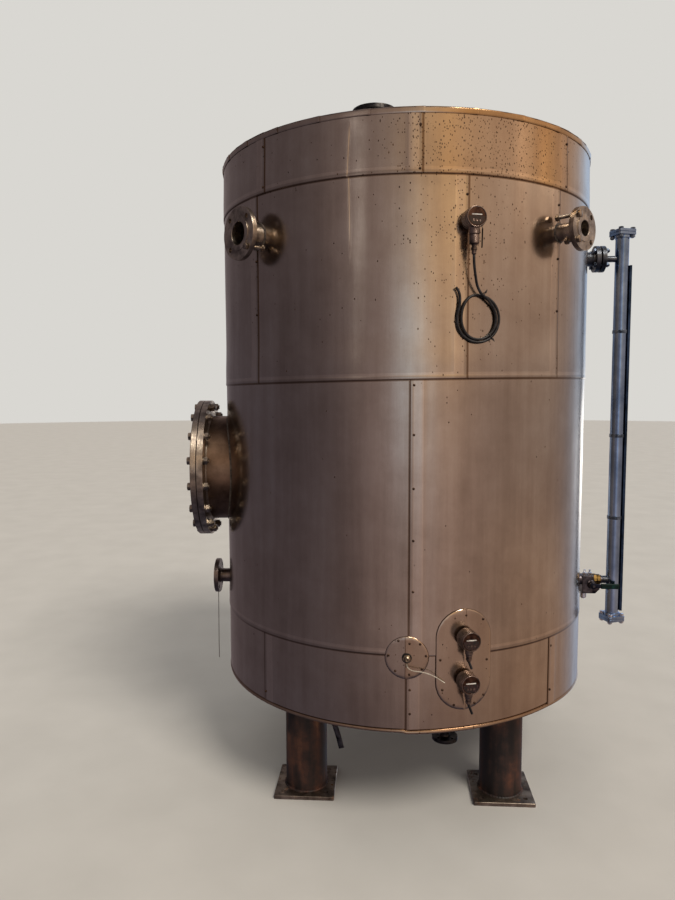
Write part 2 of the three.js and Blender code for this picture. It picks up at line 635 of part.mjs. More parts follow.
add("cover_gland", joined(glandStem, glandNut), "instrument");

// Long cover with round ends under the two lower heads, in two halves
function longCoverHalf(from, to) {
  const inner = CLAD_R + SEAT;
  const outline = [...arc(inner + SHEET, from, to), ...arc(inner, from, to).reverse()];
  const plate = raised(outline, LONG_COVER_LOW - 10, LONG_COVER_HIGH + 10);
  const straight = LONG_COVER_HIGH - LONG_COVER_LOW - 2 * LONG_COVER_R;
  const form = new THREE.Shape();
  form.absarc(0, LONG_COVER_LOW + LONG_COVER_R, LONG_COVER_R, Math.PI, 2 * Math.PI);
  form.absarc(0, LONG_COVER_LOW + LONG_COVER_R + straight, LONG_COVER_R, 0, Math.PI);
  const block = new THREE.ExtrudeGeometry(form, { depth: 200, bevelEnabled: false, curveSegments: 14 });
  const within = block.rotateX(Math.PI / 2).translate(0, -680, 0);
  const holes = [765, 613].map((z) => outward(disc(STEM_R + 0.5, 700, 850, 16), z));
  const kept = geometryOf(solid(plate).intersect(solid(within)));
  return cut(kept, ...holes);
}
add("long_cover_left", longCoverHalf(-9, -0.02), "cladding", heads);
add("long_cover_right", longCoverHalf(0.02, 9), "cladding", heads);

// Strap end that hangs from the lower lip, left of the front
const strap = box(20, 4, 108, 0, 0, -54).rotateY(-15 * DEGREE).translate(-262, -700, LIP_LOW + 4);
const aboveLip = turned([[0, BOTTOM_APEX - SEAT], [CLAD_R, LIP_LOW - SEAT], [CLAD_R, 500], [0, 500]]);
add("strap_end", cut(strap, aboveLip), "leg");

// Cable of the upper head: down from its gland, into a loop held by ties, and a bare tail
const CABLE = 9;
const LOOP_AZIMUTH = 17.5;
const LOOP_Z = 1865;
const LOOP_IN = 60;
const LOOP_OUT = 84;
const LOOP_BACK = 777.5;
const LOOP_FRONT = 795.5;
const loopRing = (grow) =>
  outward(tube(LOOP_IN - grow, LOOP_OUT + grow, LOOP_BACK - grow, LOOP_FRONT + grow, 32), LOOP_Z)
    .rotateZ((LOOP_AZIMUTH - HEAD_AZIMUTH) * DEGREE);
add("cable_loop", loopRing(0), "cable", heads);
const leadRoute = [
  [0, -GLAND_R, 2185 - UPPER_GLAND - SEAT],
  [0.5, -GLAND_R, 2050],
  [6, -817, 2025],
  [15, -806, 2000],
  [23, -797, 1975],
  [36, -790, 1951],
  [48, -787, 1936],
];
add("cable_lead", cut(cable(leadRoute, CABLE, 8), loopRing(SEAT)), "cable", heads);
const tailRoute = [
  [-34, -785, 1914],
  [-33.5, -786, 1925],
  [-37, -787, 1943],
  [-44, -787, 1959],
  [-54, -786, 1969],
];
add("cable_tail", cut(cable(tailRoute, CABLE, 6), loopRing(SEAT)), "cable", heads);

// Pale wire out of the round cover's gland
const WIRE = 4;
const wireRoute = [
  [0, -794, ROUND_COVER_Z - 17.7],
  [0.5, -795, ROUND_COVER_Z - 22],
  [4, -797, 664],
  [14, -798, 655],
  [34, -797, 650],
  [60, -794, 647],
  [85, -790, 638],
  [110, -784, 622],
  [133, -777, 604],
];
add("cover_wire", cable(wireRoute, WIRE, 16), "wire");

// Thin wire that hangs from the low left flange
const lowLeft = nozzles[2];
const wireTop = lowLeft.z - lowLeft.flangeR - SEAT - 0.2;
const hangingRoute = [
  [3, -(lowLeft.face - 10), wireTop],
  [5, -(lowLeft.face - 10), wireTop - 68],
  [4, -(lowLeft.face - 9), wireTop - 159],
  [1, -(lowLeft.face - 8), wireTop - 250],
  [-1, -(lowLeft.face - 8), wireTop - 313],
];
add("hanging_wire", cable(hangingRoute, 3, 24), "wire", facing(lowLeft.azimuth));

// The origin is under the middle of the tank and its fittings, on the floor
tank.updateMatrixWorld(true);
const cords = ["cable_loop", "cable_lead", "cable_tail", "cover_wire", "hanging_wire"];
const bounds = new THREE.Box3();
tank.traverse((piece) => {
  if (piece.isMesh && !cords.includes(piece.name)) bounds.union(new THREE.Box3().setFromObject(piece, true));
});
const centre = bounds.getCenter(new THREE.Vector3());
tank.position.set(-centre.x, -centre.y, 0);

export default tank;
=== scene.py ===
import math
from functools import partial

import bmesh
import bpy
import numpy as np
from mathutils import Matrix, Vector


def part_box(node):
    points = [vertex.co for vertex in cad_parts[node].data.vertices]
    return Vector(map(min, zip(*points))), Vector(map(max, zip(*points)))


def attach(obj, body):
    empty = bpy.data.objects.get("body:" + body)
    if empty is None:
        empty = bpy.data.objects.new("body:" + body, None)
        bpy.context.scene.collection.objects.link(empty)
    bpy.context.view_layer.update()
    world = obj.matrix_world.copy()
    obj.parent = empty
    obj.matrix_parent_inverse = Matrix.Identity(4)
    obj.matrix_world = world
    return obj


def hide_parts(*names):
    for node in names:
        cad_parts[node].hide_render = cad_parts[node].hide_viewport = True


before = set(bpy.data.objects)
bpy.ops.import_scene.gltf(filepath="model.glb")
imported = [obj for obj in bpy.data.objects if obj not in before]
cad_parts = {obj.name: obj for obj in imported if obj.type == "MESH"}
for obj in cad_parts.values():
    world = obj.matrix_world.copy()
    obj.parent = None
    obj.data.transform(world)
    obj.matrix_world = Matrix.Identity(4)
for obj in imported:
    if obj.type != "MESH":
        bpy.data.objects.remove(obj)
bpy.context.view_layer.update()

# The tank stands upright, and every piece is placed from its axis in millimetres: out along a radius,
# to the right of it, and up from the floor. The axis is the middle of the vessel's shell.
shell_low, shell_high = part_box("vessel_shell")
AXIS_X = (shell_low.x + shell_high.x) / 2
AXIS_Y = (shell_low.y + shell_high.y) / 2


def place(azimuth, t, rho, z):
    """Frame points in metres. x is the axis + rho sin a + t cos a, y the axis - rho cos a + t sin a,
    with the azimuth a in degrees (0 at the front, 90 on the right) and the rest in millimetres."""
    a = np.radians(azimuth)
    x = AXIS_X + (rho * np.sin(a) + t * np.cos(a)) / 1000
    y = AXIS_Y + (t * np.sin(a) - rho * np.cos(a)) / 1000
    return np.stack(np.broadcast_arrays(x, y, np.asarray(z) / 1000), -1)


# The camera stands in front of the tank, 3.2 m from its axis and 1.6 m above the floor, and looks a
# little down and to the left.
CAMERA_AT = (-0.0912, -3.1647, 1.614)
HEADING, PITCH, ROLL = 3.57, 85.35, -0.17
lens = bpy.data.cameras.new("camera")
lens.sensor_fit = "HORIZONTAL"
lens.sensor_width = 36
lens.lens = 37.333
camera = bpy.data.objects.new("camera", lens)
camera.matrix_world = (
    Matrix.Translation((AXIS_X + CAMERA_AT[0], AXIS_Y + CAMERA_AT[1], CAMERA_AT[2]))
    @ Matrix.Rotation(math.radians(HEADING), 4, "Z")
    @ Matrix.Rotation(math.radians(PITCH), 4, "X")
    @ Matrix.Rotation(math.radians(ROLL), 4, "Z")
)
bpy.context.collection.objects.link(camera)
bpy.context.scene.camera = camera


# The cable of the upper instrument head: a 9 mm round cable with a black rubber jacket. It drops from
# the gland, lies against the cladding in a loop of one and three quarter turns, and ends cut off.
SHARP_PAST = math.radians(38)


def hue(text):
    """A colour written as sRGB hex, made linear: c / 12.92 up to 0.04045, above it
    ((c + 0.055) / 1.055) to the power 2.4."""
    c = np.array([int(text[i:i + 2], 16) for i in (1, 3, 5)]) / 255
    linear = np.where(c <= 0.04045, c / 12.92, ((c + 0.055) / 1.055) ** 2.4)
    return (*linear.tolist(), 1.0)


def node(tree, kind, inputs=None, out=0, stops=(), **settings):
    """Adds a node and returns its output number out, or the node itself where out is None. An input is
    another node's output, or a value for its socket. stops are the (position, colour) of a ramp. A
    colour is sRGB hex text, or four linear numbers."""
    made = tree.nodes.new("ShaderNode" + kind)
    for name, value in settings.items():
        setattr(made, name, value)
    if stops:
        marks = made.color_ramp.elements
        while len(marks) < len(stops):
            marks.new(1.0)
        for mark, (position, colour) in zip(marks, stops):
            mark.position = position
            mark.color = hue(colour) if isinstance(colour, str) else colour
    for name, value in (inputs or {}).items():
        if isinstance(value, bpy.types.NodeSocket):
            tree.links.new(value, made.inputs[name])
        else:
            made.inputs[name].default_value = hue(value) if isinstance(value, str) else value
    return made if out is None or not made.outputs else made.outputs[out]


def finish(name):
    """A new material without nodes, and the call that adds a node to it."""
    made = bpy.data.materials.new(name)
    made.use_nodes = True
    made.node_tree.nodes.clear()
    return made, partial(node, made.node_tree)


def woven(rows, columns, round_rows=False, round_columns=False):
    """Four-cornered faces of a grid of points, row by row: point (i, j) with its neighbours at i + 1 and
    j + 1. A round direction joins its last line to its first."""
    i = np.arange(rows if round_rows else rows - 1)
    j = np.arange(columns if round_columns else columns - 1)
    i, j = np.meshgrid(i, j, indexing="ij")
    k, m = (i + 1) % rows, (j + 1) % columns
    corners = [i * columns + j, k * columns + j, k * columns + m, i * columns + m]
    return np.stack(corners, -1).reshape(-1, 4)


def along(path, across, outwards, sides=14, facing=None, ends=True, number=0):
    """A rod carried along a path in metres, its section an oval of two half widths in millimetres. With T
    the path's direction and N what is left of the facing direction once its part along T is taken off,
    a point is P + across cos u (T x N) + outwards sin u N. The ends close on the path."""
    path = np.asarray(path, float)
    ahead = np.gradient(path, axis=0)
    ahead /= np.linalg.norm(ahead, axis=1, keepdims=True)
    if facing is None:
        facing = (path - [AXIS_X, AXIS_Y, 0]) * [1, 1, 0]
    facing = np.broadcast_to(np.asarray(facing, float), path.shape)
    normal = facing - (facing * ahead).sum(1, keepdims=True) * ahead
    normal /= np.linalg.norm(normal, axis=1, keepdims=True)
    side = np.cross(ahead, normal)
    u = np.linspace(0, 2 * np.pi, sides, endpoint=False)[None, :, None]
    ring = across / 1000 * np.cos(u) * side[:, None] + outwards / 1000 * np.sin(u) * normal[:, None]
    if ends:
        squeeze = np.ones(len(path) + 2)
        squeeze[[0, -1]] = 0
        path = np.concatenate([path[:1], path, path[-1:]])
        ring = np.concatenate([ring[:1], ring, ring[-1:]]) * squeeze[:, None, None]
    return (path[:, None] + ring).reshape(-1, 3), woven(len(path), sides, False, True), {}, number


def smooth_route(points, steps):
    """A smooth curve through points, each stretch with its own steps: the Catmull-Rom cubic, whose slope
    at a point is half the step from the point before to the point after."""
    p = np.asarray(points, float)
    p = np.concatenate([2 * p[:1] - p[1:2], p, 2 * p[-1:] - p[-2:-1]])
    s = np.linspace(0, 1, steps, endpoint=False)[None, :, None]
    a, b, c, d = (p[i:len(p) - 3 + i][:, None] for i in range(4))
    curve = 0.5 * (2 * b + (c - a) * s + (2 * a - 5 * b + 4 * c - d) * s ** 2
                   + (3 * b - a - 3 * c + d) * s ** 3)
    return np.concatenate([curve.reshape(-1, 3), p[-2:-1]])


def travelled(route):
    """How far along a route each point lies, in metres: the running sum of the steps' lengths."""
    return np.concatenate([[0], np.cumsum(np.linalg.norm(np.diff(route, axis=0), axis=1))])


def shape_of(name, parts, finishes):
    """One mesh of several closed parts, each (points, faces, named values per point, number of its
    finish). A part whose volume, a sixth of the sum of a . (b x c) over its triangles, comes out negative
    is inside out, and its faces are turned round. Points that meet are merged."""
    values = sorted({key for part in parts for key in part[2]})
    corners, faces, numbers, data, count = [], [], [], {key: [] for key in values}, 0
    for points, quads, named, number in parts:
        points = np.asarray(points, float).reshape(-1, 3)
        a, b, c, d = (points[quads[:, k]] - points.mean(0) for k in range(4))
        volume = (np.cross(a, b) * c).sum() + (np.cross(a, c) * d).sum()
        corners.append(points)
        faces.append((quads[:, ::-1] if volume < 0 else quads) + count)
        numbers.append(np.full(len(quads), number))
        for key in values:
            data[key].append(np.broadcast_to(np.ravel(named.get(key, 0.0)), len(points)))
        count += len(points)
    mesh = bpy.data.meshes.new(name)
    mesh.from_pydata(np.concatenate(corners).tolist(), [], np.concatenate(faces).tolist())
    for key in values:
        layer = mesh.attributes.new(key, "FLOAT", "POINT")
        layer.data.foreach_set("value", np.concatenate(data[key]).astype(np.float32))
    mesh.polygons.foreach_set("material_index", np.concatenate(numbers).astype(np.int32))
    for made in finishes:
        mesh.materials.append(made)
    work = bmesh.new()
    work.from_mesh(mesh)
    bmesh.ops.remove_doubles(work, verts=work.verts, dist=2e-6)
    work.to_mesh(mesh)
    work.free()
    mesh.validate()
    mesh.shade_smooth()
    mesh.set_sharp_from_angle(angle=SHARP_PAST)
    return mesh


def piece(name, parts, finishes, stands_for=(), body="tank", holes=()):
    """A finished piece at the origin: its parts as one mesh, with the closed parts in holes cut out of
    it, riding on a body and standing for its nodes of the frame."""
    made = bpy.data.objects.new(name, shape_of(name, parts, finishes))
    bpy.context.collection.objects.link(made)
    if len(holes):
        tool = bpy.data.objects.new("tool", shape_of("tool", holes, []))
        bpy.context.collection.objects.link(tool)
        cut = made.modifiers.new("holes", "BOOLEAN")
        cut.operation = "DIFFERENCE"
        cut.solver = "EXACT"
        cut.object = tool
        seen = made.evaluated_get(bpy.context.evaluated_depsgraph_get())
        cut_mesh = bpy.data.meshes.new_from_object(seen)
        made.modifiers.remove(cut)
        made.data = cut_mesh
        bpy.data.objects.remove(tool)
        cut_mesh.shade_smooth()
        cut_mesh.set_sharp_from_angle(angle=SHARP_PAST)
    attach(made, body)
    if stands_for:
        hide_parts(*stands_for)
    return made


# Cable jacket: extruded black rubber, semi-matt, with a dusty bloom in clouds of 17 mm and a faint
# orange-peel skin. Its dimples are 1.1 mm across, coarser than real ones, which wouldn't show.
cable_black, add = finish("rubber_cable_jacket")
at = add("TexCoord", out=3)
dust = add("TexNoise", {"Vector": at, "Scale": 60.0, "Detail": 4.0})
skin = add("TexNoise", {"Vector": at, "Scale": 900.0, "Detail": 2.0})
shader = add("BsdfPrincipled", {
    "Base Color": add("ValToRGB", {0: dust}, stops=[(0.42, "#0c0c0f"), (0.72, "#2b2a2e")]),
    "Roughness": add("MapRange", {0: dust, 3: 0.34, 4: 0.6}),
    "Normal": add("Bump", {"Strength": 0.25, "Distance": 0.0004, "Height": skin}),
})
add("OutputMaterial", {"Surface": shader})

# The lead is (t, rho, z) from the gland down, the loop (turn in degrees, its radius, rho) about its own
# middle, and the tail (t, height above that middle, rho).
CABLE = 9.0
HEAD_AZIMUTH, LOOP_AZIMUTH, LOOP_Z = 15.0, 17.5, 1865.0
LEAD_ROUTE = [
    (0, 822, 2066.7), (0.3, 822, 2058), (1.0, 821.3, 2045), (3.0, 819, 2031), (6.5, 815, 2017),
    (11, 810, 2003), (15.5, 804.5, 1989), (20.5, 799.5, 1976), (27, 796, 1963), (34.5, 793.5, 1952),
]
LOOP_ROUTE = [
    (82, 77.5, 790.6), (70, 72.5, 788.6), (57, 68.5, 785), (42, 67, 781.5), (24, 67, 779.6),
    (4, 67.6, 779.3), (-16, 68.6, 779.3), (-38, 70, 779.3), (-62, 70.8, 779.6), (-86, 71, 780.5),
    (-110, 70, 781.5), (-132, 67, 782), (-154, 62.8, 782), (-176, 60.8, 782), (-198, 62, 782),
    (-218, 66.8, 782), (-238, 73, 781.5), (-256, 77, 780.5), (-274, 76.8, 779.6), (-296, 77.2, 779.4),
    (-320, 78, 779.3), (-344, 78.2, 779.3), (-368, 78.8, 779.3), (-392, 79.8, 779.5), (-416, 80.6, 780),
    (-440, 81, 781), (-464, 80.6, 782), (-486, 80, 782), (-508, 79, 782.3), (-528, 77, 782.5),
    (-546, 76, 782.5),
]
TAIL_ROUTE = [
    (-72.5, 24, 784), (-69.5, 38, 784.5), (-67.8, 54, 785), (-69, 71, 786), (-74.5, 87, 787),
    (-83.5, 99.5, 787),
]
turn, loop_r, loop_rho = np.array(LOOP_ROUTE).T
loop_t = loop_r * np.cos(np.radians(turn))
loop_z = LOOP_Z + loop_r * np.sin(np.radians(turn))
tail_t, tail_up, tail_rho = np.array(TAIL_ROUTE).T
cable_route = smooth_route(np.concatenate([
    place(HEAD_AZIMUTH, *np.array(LEAD_ROUTE).T),
    place(LOOP_AZIMUTH, loop_t, loop_rho, loop_z),
    place(LOOP_AZIMUTH, tail_t, tail_rho, LOOP_Z + tail_up),
]), 5)
cable = piece("head_cable", [along(cable_route, CABLE / 2, CABLE / 2, 16)], [cable_black],
              ["cable_loop", "cable_lead", "cable_tail"])


# Cable ties: moulded black nylon straps, each pulled round two strands of the loop through its own
# square head, with the loose end cut short.
def step(azimuth, t, rho, z):
    """A step or direction in the frame: its place less that of the foot of the axis."""
    return place(azimuth, t, rho, z) - place(azimuth, 0.0, 0.0, 0.0)


def tie(t, z, rho, turn, half_wide, half_deep):
    """A closed band round two strands at (t, z): an oval of half_wide across the strands, turned by an
    angle in the cladding's plane, and half_deep outwards, with a head block on it and a short end."""
    right, up = math.cos(math.radians(turn)), math.sin(math.radians(turn))
    u = np.linspace(0, 2 * np.pi, 41)
    wide = half_wide * np.sign(np.cos(u)) * np.abs(np.cos(u)) ** 0.7
    knot = half_wide * 0.75 + np.array([0, 6.0])
    spans = (wide, half_deep * np.sin(u)), (knot, half_deep + 0.8), (knot + 6, half_deep + 2)
    ring, head, end = (place(LOOP_AZIMUTH, t + across * right, rho + out, z + across * up)
                       for across, out in spans)
    return [along(ring, 0.6, 1.8, 8, step(LOOP_AZIMUTH, -up, 0.0, right), ends=False),
            along(head, 3.4, 2.6, 8), along(end, 1.8, 1.0, 8)]


ties = piece("cable_ties", tie(16, LOOP_Z + 77, 784.4, 62, 9.0, 10.8)
             + tie(47, LOOP_Z - 61, 779.9, -54, 11.0, 5.8), [cable_black])


# Wires: a pale twin wire, its two strands twisted together, out of the round cover's gland, and a thin
# brown wire that hangs down from the low left flange. Both are sheathed in aged PVC, half glossy.
def coat(name, scale, detail, stops, rough, more=None):
    """A moulded or painted skin: patches about 1 / scale metres across give its colour, from the stops of
    a ramp. rough is its roughness, or the two that the patches lie between."""
    made, add = finish(name)
    cloud = add("TexNoise", {"Vector": add("TexCoord", out=3), "Scale": scale, "Detail": detail})
    if isinstance(rough, tuple):
        rough = add("MapRange", {0: cloud, 3: rough[0], 4: rough[1]})
    shader = add("BsdfPrincipled", {"Base Color": add("ValToRGB", {0: cloud}, stops=stops),
                                    "Roughness": rough, **(more or {})})
    add("OutputMaterial", {"Surface": shader})
    return made


wire_pale = coat("pale_wire_insulation", 45.0, 3.0, [(0.35, "#a3988a"), (0.65, "#d8cfc0")], (0.35, 0.6))
wire_brown = coat("brown_wire_insulation", 45.0, 3.0, [(0.35, "#3d3430"), (0.65, "#665a52")], (0.35, 0.6))
WIRE, TWIST, HANGING = 4.0, 17.0, 3.0
COVER_WIRE_ROUTE = [
    (0, 794, 674.3), (0.1, 794.3, 671), (0.5, 795, 668), (2, 796, 665.5), (4.5, 796.8, 662.6),
    (8.5, 797.4, 659.2), (14, 797.8, 656), (20, 797.8, 654), (27, 797.5, 652.6), (35, 797, 651.4),
    (44, 796.2, 650.2), (53, 795.2, 648.6), (62, 794, 646.2), (71, 792.6, 643), (80, 791, 639.4),
    (89, 789.2, 635), (98, 787, 629.8), (107, 784.6, 623.8), (116, 782, 617.2), (125, 779.2, 610.4),
    (133, 777, 604.4),
]
wire_route = smooth_route(place(0, *np.array(COVER_WIRE_ROUTE).T), 8)
swing = 2 * np.pi * travelled(wire_route) * 1000 / TWIST
coil = np.stack([0 * swing, np.sin(swing), np.cos(swing)], -1) * (WIRE / 4000)
strands = [along(wire_route + sign * coil, WIRE / 4, WIRE / 4, 10) for sign in (1, -1)]
cover_wire = piece("cover_twin_wire", strands, [wire_pale], ["cover_wire"])

HANGING_ROUTE = [
    (3, 837, 706.5), (3.6, 837, 686.6), (4.3, 837, 663.8), (5, 837, 638.2), (5.2, 837.2, 616),
    (5.1, 837.4, 593.3), (4.7, 837.7, 570.5), (4, 838, 547.2), (3.4, 838.2, 525), (2.6, 838.5, 502.2),
    (1.8, 838.8, 479.5), (1, 839, 456.2), (0.3, 839, 439.6), (-0.3, 839, 423.7), (-0.7, 839, 407.8),
    (-1, 839, 393.5),
]
hanging_route = smooth_route(place(-87, *np.array(HANGING_ROUTE).T), 4)
hanging_wire = piece("nozzle_wire", [along(hanging_route, HANGING / 2, HANGING / 2, 10)], [wire_brown],
                     ["hanging_wire"])


# Studio: a plain pale floor in soft light. The polished sheets mirror what is round them, so the surround
# has a dim cool side on the left, a bright soft light in front, and a warm side on the right. Each soft
# light gives exp((cos of the angle from it round the tank - 1) / (1 - cos of its width)
# - ((height - its own) / tall)^2) of its light, over a dim level.
SOFT_LIGHTS = [
    # where it stands round the tank, how wide (degrees), how high, how tall (of 1 overhead), its light
    (5, 11, 0.03, 0.18, (0.17, 0.35, 0.47)),
    (20, 18, 0.29, 0.28, (0.39, 0.23, 0.02)),
    (144, 19, 0.42, 1.00, (0.20, 0.46, 0.76)),
    (154, 15, -0.09, 0.10, (2.39, 2.22, 1.93)),
    (-32, 13, 0.28, 0.11, (0.14, 0.11, 0.10)),
    (11, 33, -0.07, 0.34, (0.29, 0.21, 0.19)),
    (81, 80, 0.48, 0.51, (0.69, 0.50, 0.35)),
    (90, 80, -0.33, 0.20, (0.32, 0.20, 0.11)),
    (-28, 2, 0.25, 0.15, (0.50, 0.48, 0.44)),
    (71, 2, 0.33, 0.08, (0.90, 0.66, 0.45)),
    (88, 2, 0.33, 0.08, (0.80, 0.60, 0.42)),
    (-178, 20, 0.10, 0.60, (0.26, 0.25, 0.25)),
]
DIM = (0.069, 0.061, 0.081)
world = bpy.data.worlds.new("surround")
bpy.context.scene.world = world
world.use_nodes = True
world.node_tree.nodes.clear()
add = partial(node, world.node_tree)
gaze = add("TexCoord", out=0)
height = add("SeparateXYZ", {0: gaze}, out=2)
level = add("VectorMath", {0: gaze, 1: (1.0, 1.0, 0.0)}, operation="MULTIPLY")
level = add("VectorMath", {0: level}, operation="NORMALIZE")
total = add("CombineXYZ", dict(enumerate(DIM)))
for stands, wide, high, tall, light in SOFT_LIGHTS:
    a, narrow = math.radians(stands), 1 / (1 - math.cos(math.radians(wide)))
    near = add("VectorMath", {0: level, 1: (math.sin(a), -math.cos(a), 0.0)}, 1, operation="DOT_PRODUCT")
    near = add("Math", {0: near, 1: narrow, 2: -narrow}, operation="MULTIPLY_ADD")
    above = add("Math", {0: height, 1: 1 / tall, 2: -high / tall}, operation="MULTIPLY_ADD")
    above = add("Math", {0: above, 1: above}, operation="MULTIPLY")
    share = add("Math", {0: near, 1: above}, operation="SUBTRACT")
    share = add("Math", {0: share}, operation="EXPONENT")
    total = add("VectorMath", {0: share, 1: light, 2: total}, operation="MULTIPLY_ADD")
mirrored = add("Background", {0: total, 1: 1.0})
soft_fill = add("Background", {0: "#dedad5", 1: 0.74})
backdrop = add("Background", {0: "#d9d7d2", 1: 1.0})
ray = add("LightPath", out=None)
filled = add("MixShader", {0: ray.outputs[2], 1: mirrored, 2: soft_fill})
add("OutputWorld", {0: add("MixShader", {0: ray.outputs[0], 1: filled, 2: backdrop})})

lamp = bpy.data.lights.new("lamp", "SUN")
lamp.energy = 1.9
lamp.angle = math.radians(22)
lamp.color = (1.0, 0.92, 0.82)
lamp_object = bpy.data.objects.new("lamp", lamp)
lamp_object.rotation_euler = (math.radians(42), 0, math.radians(38))
bpy.context.collection.objects.link(lamp_object)
bpy.context.scene.view_settings.view_transform = "Standard"

# Floor: matt painted screed with faint, wide clouds.
FLOOR_R = 40000.0
floor_paint = coat("pale_painted_floor", 3.0, 5.0, [(0.3, "#c2c0bb"), (0.7, "#c9c7c2")], 0.75)
ring_r, ring_a = np.meshgrid([0, 2000, 6000, FLOOR_R], np.arange(0, 360, 6), indexing="ij")
floor_part = (place(ring_a, 0.0, ring_r, 0.0), woven(4, 60, False, True), {}, 0)
floor_mesh = shape_of("floor", [floor_part], [floor_paint])
floor = bpy.data.objects.new("floor", floor_mesh)
if floor_mesh.polygons[0].normal.z < 0:
    floor_mesh.flip_normals()
floor.visible_glossy = False
bpy.context.collection.objects.link(floor)


# The vessel inside, seen only through the open nozzles: stainless plate with a mill finish, dull and
# even, with the faint cloudiness of pickling.
def metal(name, dark, light, rough, patch=12.0, grain=(300.0, 300.0, 300.0), rust=0.0, rust_hue="#5a3420",
          turning=0.0):
    """Bare or plated metal: two tones mixed by patches, a fine grain in the bump, rust in the hollows of
    a second noise, and, where turning is set, rings with that spacing in millimetres round the
    piece's own axis, read from the turning value. patch and grain are counts to the metre, so the usual
    patches are 83 mm across and the grain 3 mm. Real grain and rings, of 0.1 and 0.5 mm, are too fine to
    show, so both are drawn coarser."""
    made, add = finish(name)
    at = add("TexCoord", out=3)
    patches = add("TexNoise", {"Vector": at, "Scale": patch, "Detail": 6.0, "Roughness": 0.62})
    colour = add("ValToRGB", {0: patches}, stops=[(0.36, dark), (0.64, light)])
    fine = add("TexNoise", {"Vector": add("Mapping", {0: at, 3: grain}), "Scale": 1.0, "Detail": 3.0})
    roughness = add("MapRange", {0: patches, 1: 0.3, 2: 0.7, 3: rough + 0.10, 4: rough - 0.06})
    metallic = 1.0
    height = add("Math", {0: fine, 1: 0.5}, operation="MULTIPLY")
    if turning:
        rings = add("Attribute", out=2, attribute_name="turning")
        wave = add("Math", {0: rings, 1: 2 * math.pi / turning}, operation="MULTIPLY")
        wave = add("Math", {0: wave}, operation="SINE")
        height = add("Math", {0: wave, 1: 0.5, 2: height}, operation="MULTIPLY_ADD")
    if rust:
        rust_at = add("TexNoise", {"Vector": at, "Scale": patch * 2.3, "Detail": 9.0, "Roughness": 0.7})
        edge = 0.72 - 0.3 * rust
        rusty = add("MapRange", {0: rust_at, 1: edge, 2: edge + 0.07})
        tint = add("ValToRGB", {0: fine}, stops=[(0.3, rust_hue), (0.75, "#8a5a34")])
        colour = add("Mix", {0: rusty, 6: colour, 7: tint}, out=2, data_type="RGBA")
        roughness = add("Mix", {0: rusty, 2: roughness, 3: 0.85}, data_type="FLOAT")
        metallic = add("MapRange", {0: rusty, 3: 1.0, 4: 0.25})
        height = add("Math", {0: rusty, 1: 1.2, 2: height}, operation="MULTIPLY_ADD")
    bump = add("Bump", {"Strength": 0.35, "Distance": 0.0004, "Height": height})
    add("OutputMaterial", {"Surface": add("BsdfPrincipled", {
        "Base Color": colour, "Metallic": metallic, "Roughness": roughness, "Normal": bump})})
    return made


mill_plate = metal("mill_finish_plate", "#6f6c66", "#8f8b84", 0.42, 4.0)
for name in ("vessel_shell", "top_head", "bottom_head"):
    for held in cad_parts[name].material_slots:
        held.material = mill_plate


# Cladding: four bands of bright stainless sheet, 1 mm thick, rolled to the tank. Each sheet's lapping
# edge is swaged into a raised bead, and the sheets are screwed down through their laps.
CLAD_R, SHEET, TUCK = 774.0, 1.0, 40.0
LOW_SEAM, MID_SEAM, HIGH_SEAM, TOP_EDGE = 698.0, 1658.0, 2337.0, 2549.0
MID_SLOPE, LAP_RISE = 0.0148, 1.2
ACROSS_BEAD = [0, 1, 2.5, 5.5, 9, 11, 13, 16, 26, 42, 48, 54, 62]
BEAD_RISE = [LAP_RISE, 1.7, 1.9, 1.9, 1.8, 1.6, 1.4, 1.3, LAP_RISE, LAP_RISE, 0.85, 0.3, 0]
UP_FROM_EDGE = [0, 1, 3, 6, 9.5, 12, 14, 17, 26, 42, 66, 95, 125, 160]
EDGE_RISE = [1.8, 2.6, 3.0, 3.1, 3.0, 2.8, 2.6, 2.5, 2.4, 2.4, 2.1, 1.3, 0.45, 0]
# Half the share of its colour that the sheet keeps near a lap, which paints shade, with some dirt, into
# the lap's gap and crease and a highlight on the raised lap strip: where, as a share of the distance that
# over or beyond is counted to, and the red, green and blue share
OVER_TO, BEYOND_TO = 60.0, 30.0
ON_LAP_SHADE_DIRT_AND_HIGHLIGHT = [
    (0.0, 0.19, 0.16, 0.13), (0.05, 0.24, 0.20, 0.17), (0.08, 0.42, 0.42, 0.42), (0.18, 0.45, 0.45, 0.45),
    (0.24, 0.58, 0.58, 0.58), (0.72, 0.58, 0.58, 0.58), (0.76, 0.62, 0.62, 0.62), (0.82, 0.5, 0.5, 0.5),
    (1.0, 0.5, 0.5, 0.5),
]
UNDER_LAP_SHADE_AND_DIRT = [
    (0.0, 0.20, 0.16, 0.13), (0.10, 0.25, 0.21, 0.18), (0.16, 0.47, 0.47, 0.47), (0.22, 0.52, 0.52, 0.52),
    (0.3, 0.5, 0.5, 0.5), (1.0, 0.5, 0.5, 0.5),
]


